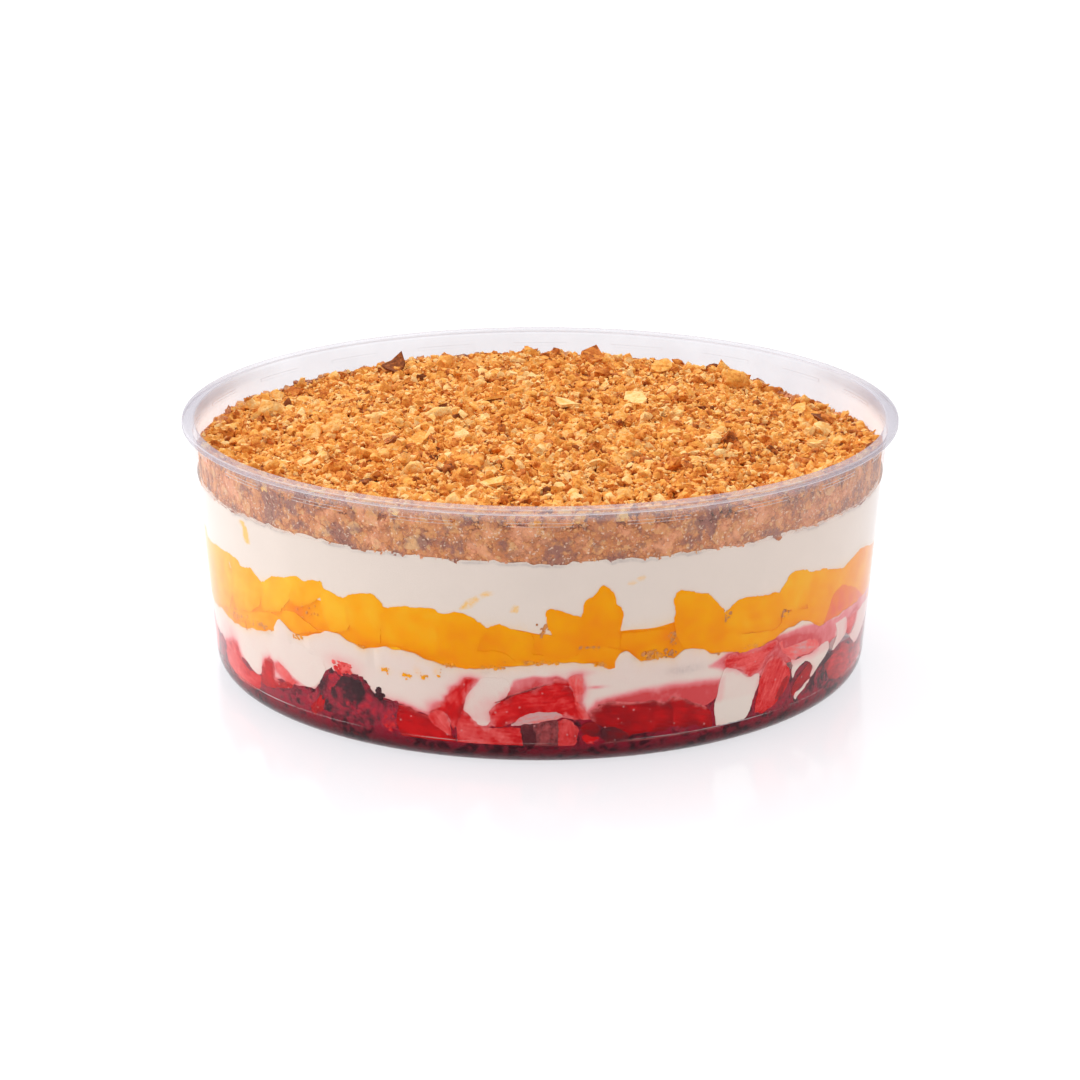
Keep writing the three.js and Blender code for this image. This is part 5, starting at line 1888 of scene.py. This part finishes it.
def build_crumbs(settings):
    """Loose crumbs on the bed, from fine grains to lumps and curled flakes."""
    material = crumb_material(settings, "baked_crumbs", 0.0)
    draw = np.random.default_rng(settings.seed)
    kinds = (
        ("fine_crumbs", broken_block, settings.fine, (0.6, 1.3), (0.9, 0.6), 180, (0.66, 0.2)),
        ("small_crumbs", broken_lump, settings.small, (1.1, 2.6), (0.9, 0.7), 180, (0.6, 0.22)),
        ("crumb_lumps", craggy_lump, settings.lumps, (2.2, 4.8), (0.8, 0.8), 180, (0.58, 0.2)),
        ("crumb_flakes", curled_flake, settings.flakes, (2.4, 5.2), (0.2, 0.5), 60, (0.62, 0.28)),
    )
    for name, maker, count, (least, most), (sink, rise), tilt, (middle, spread) in kinds:
        batch = Batch("tone")
        shapes = crumb_shapes(draw, 12, maker)
        places = strewn(draw, count, sink, rise)
        sizes = least + (most - least) * draw.beta(1.6, 2.8, count)
        turns = turned(draw, count, tilt)
        tones = mixed_tones(draw, middle, spread, count)
        scatter(batch, draw, shapes, places, sizes, turns, tones, 0.9)
        if maker is craggy_lump:
            add_large(batch, draw, LARGE_LUMPS, craggy_lump, 60)
        if maker is curled_flake:
            add_large(batch, draw, LARGE_FLAKES, curled_flake, 30)
        batch.piece(name, material, "crumb", "crumb_topping", sharp=50)


def add_large(batch, draw, table, maker, tilt):
    """Adds the few largest crumbs, each at its own place on the surface."""
    for x, y, size, lift, tone in table:
        place = np.array([[x, y, crumb_level(x, y) + lift]])
        shapes = crumb_shapes(draw, 1, maker)
        turns = turned(draw, 1, tilt)
        scatter(batch, draw, shapes, place, np.array([size]), turns, np.array([tone]), 0.9)


def build_wall_crumbs(settings):
    """Damp crumbs pressed flat on the wall between the cream and the crumbs' surface."""
    material = crumb_material(settings, "damp_crumbs", 0.6)
    draw = np.random.default_rng(settings.seed + 3)
    batch = Batch("tone")
    for maker, count, (least, most), low_share, squash in (
        (craggy_lump, 900, (2.6, 6.2), 0.2, 0.8),
        (broken_lump, 3000, (0.8, 1.9), 0.04, 0.9),
        (broken_block, 4000, (0.4, 0.9), -0.03, 0.9),
    ):
        shapes = crumb_shapes(draw, 10, maker)
        bearing = draw.uniform(-180, 180, count)
        low = crumb_floor(bearing)
        high = crumb_surface(bearing) + bank_height(bearing)
        sizes = least + (most - least) * draw.beta(1.4, 2.8, count)
        share = draw.uniform(low_share, 1.0, count)
        height = low + (high - low) * np.sign(share) * np.abs(share) ** 1.2
        height = np.clip(height, low + sizes * 0.36 - 0.4, high - sizes * 0.3)
        reach = wall_inside(height) - sizes * draw.uniform(0.0, 0.3, count)
        places = round_tub(reach, np.radians(bearing), height)
        tones = mixed_tones(draw, 0.48, 0.26, count)
        scatter(batch, draw, shapes, places, sizes, turned(draw, count, 180), tones, squash)
    batch.piece("wall_crumbs", material, "crumb", "crumb_topping", sharp=40)


# -------- Stage --------


# The table, the lamp and what they are set by, in metres
TABLE_REACH = 6.0
SOFTBOX_PLACE = (-0.55, -0.12, 0.28)
SOFTBOX_SIDE = 0.5
SOFTBOX_COLOUR = (0.92, 0.97, 1)
SOFTBOX_AIM = (0, 0, 0.03)
SENSOR_WIDTH = 36.0


def build_floor(settings):
    """A wide plain table."""
    bm = bmesh.new()
    bmesh.ops.create_grid(bm, x_segments=1, y_segments=1, size=TABLE_REACH)
    mesh = bpy.data.meshes.new("table")
    bm.to_mesh(mesh)
    bm.free()
    mesh.materials.append(floor_material(settings))
    show("table", mesh)


def build_room(settings):
    """A white room, brightest overhead and dimmer at the front and on the right."""
    world = bpy.data.worlds.new("white_room")
    world.use_nodes = True
    world.node_tree.nodes.clear()
    shading = Shading(world.node_tree)
    facing = shading.node("TexCoord").outputs["Generated"]
    ways = shading.node("SeparateXYZ", {"Vector": facing}).outputs
    level = shading.spread(ways["Z"], 0.0, 0.9, settings.horizon, settings.zenith)
    front = shading.spread(ways["Y"], -1.0, 0.0, settings.front, 1.0)
    right_back = shading.math("ADD", ways["X"], ways["Y"])
    right = shading.spread(right_back, 0.7, 1.25, 1.0, settings.right)
    strength = shading.math("MULTIPLY", level, shading.math("MULTIPLY", front, right))
    room = shading.node("Background", {"Color": (1, 1, 1), "Strength": strength})
    shading.node("OutputWorld", {"Surface": room.outputs[0]})
    bpy.context.scene.world = world


def build_softbox(settings):
    """A square lamp on the left that faces the tub."""
    lamp = bpy.data.lights.new("left_softbox", "AREA")
    lamp.energy = settings.left_light
    lamp.color = SOFTBOX_COLOUR
    lamp.shape = "RECTANGLE"
    lamp.size = lamp.size_y = SOFTBOX_SIDE
    holder = show("left_softbox", lamp)
    holder.location = SOFTBOX_PLACE
    aim = Vector(SOFTBOX_AIM) - Vector(SOFTBOX_PLACE)
    holder.rotation_euler = aim.to_track_quat("-Z", "Y").to_euler()


def build_camera(settings):
    """Looks along +Y and down at the tub."""
    lens = bpy.data.cameras.new("camera")
    lens.lens = settings.lens
    lens.sensor_width = SENSOR_WIDTH
    camera = show("camera", lens)
    back = settings.distance * math.cos(settings.pitch)
    up = settings.distance * math.sin(settings.pitch)
    camera.location = (0, -back, settings.aim_height + up)
    camera.rotation_euler = (math.pi / 2 - settings.pitch, 0, 0)
    bpy.context.scene.camera = camera
    bpy.context.scene.view_settings.view_transform = "Standard"


# -------- Operators --------


class TRIFLE_OT_tub(bpy.types.Operator):
    """Build the clear tub"""

    bl_idname = "trifle.tub"
    bl_label = "Clear Tub"
    bl_options = {"REGISTER", "UNDO"}

    def execute(self, context):
        build_tub(context.scene.trifle_tub)
        return {"FINISHED"}


class TRIFLE_OT_berries(bpy.types.Operator):
    """Build the jelly, the strawberries and the dark berries"""

    bl_idname = "trifle.berries"
    bl_label = "Berry Layer"
    bl_options = {"REGISTER", "UNDO"}

    def execute(self, context):
        settings = context.scene.trifle_berries
        build_jelly(settings)
        build_strawberries(settings)
        build_dark_berries(settings)
        return {"FINISHED"}


class TRIFLE_OT_peach(bpy.types.Operator):
    """Build the diced peach and the soaked crumbs in it"""

    bl_idname = "trifle.peach"
    bl_label = "Peach Layer"
    bl_options = {"REGISTER", "UNDO"}

    def execute(self, context):
        build_peach(context.scene.trifle_peach)
        return {"FINISHED"}


class TRIFLE_OT_cream(bpy.types.Operator):
    """Build both layers of cream"""

    bl_idname = "trifle.cream"
    bl_label = "Cream Layers"
    bl_options = {"REGISTER", "UNDO"}

    def execute(self, context):
        settings = context.scene.trifle_cream
        material = cream_material(settings)
        build_lower_cream(settings, material)
        build_upper_cream(settings, material)
        return {"FINISHED"}


class TRIFLE_OT_crumbs(bpy.types.Operator):
    """Build the crumb topping"""

    bl_idname = "trifle.crumbs"
    bl_label = "Crumb Topping"
    bl_options = {"REGISTER", "UNDO"}

    def execute(self, context):
        settings = context.scene.trifle_crumbs
        build_crumb_bed(settings)
        build_wall_crumbs(settings)
        build_crumbs(settings)
        return {"FINISHED"}


class TRIFLE_OT_stage(bpy.types.Operator):
    """Set up the table, the room, the softbox and the camera"""

    bl_idname = "trifle.stage"
    bl_label = "Stage"
    bl_options = {"REGISTER", "UNDO"}

    def execute(self, context):
        settings = context.scene.trifle_stage
        build_floor(settings)
        build_room(settings)
        build_softbox(settings)
        build_camera(settings)
        return {"FINISHED"}


class TRIFLE_PT_sidebar(bpy.types.Panel):
    """Lists the settings and the steps"""

    bl_idname = "TRIFLE_PT_sidebar"
    bl_label = "Fruit Trifle"
    bl_space_type = "VIEW_3D"
    bl_region_type = "UI"
    bl_category = "Trifle"

    def draw(self, context):
        for operator, label, _ in STEPS:
            box = self.layout.box()
            box.operator(operator.bl_idname)
            settings = getattr(context.scene, label)
            for name in settings.__annotations__:
                box.prop(settings, name)


# Each operator with the name that its settings have in the scene
STEPS = (
    (TRIFLE_OT_tub, "trifle_tub", TubSettings),
    (TRIFLE_OT_berries, "trifle_berries", BerrySettings),
    (TRIFLE_OT_peach, "trifle_peach", PeachSettings),
    (TRIFLE_OT_cream, "trifle_cream", CreamSettings),
    (TRIFLE_OT_crumbs, "trifle_crumbs", CrumbSettings),
    (TRIFLE_OT_stage, "trifle_stage", StageSettings),
)


def register():
    for operator, label, group in STEPS:
        bpy.utils.register_class(group)
        setattr(bpy.types.Scene, label, bpy.props.PointerProperty(type=group))
        bpy.utils.register_class(operator)
    bpy.utils.register_class(TRIFLE_PT_sidebar)


def unregister():
    bpy.utils.unregister_class(TRIFLE_PT_sidebar)
    for operator, label, group in reversed(STEPS):
        bpy.utils.unregister_class(operator)
        delattr(bpy.types.Scene, label)
        bpy.utils.unregister_class(group)


def main():
    register()
    bpy.ops.trifle.tub()
    bpy.ops.trifle.berries()
    bpy.ops.trifle.peach()
    bpy.ops.trifle.cream()
    bpy.ops.trifle.crumbs()
    bpy.ops.trifle.stage()


if __name__ == "__main__":
    main()
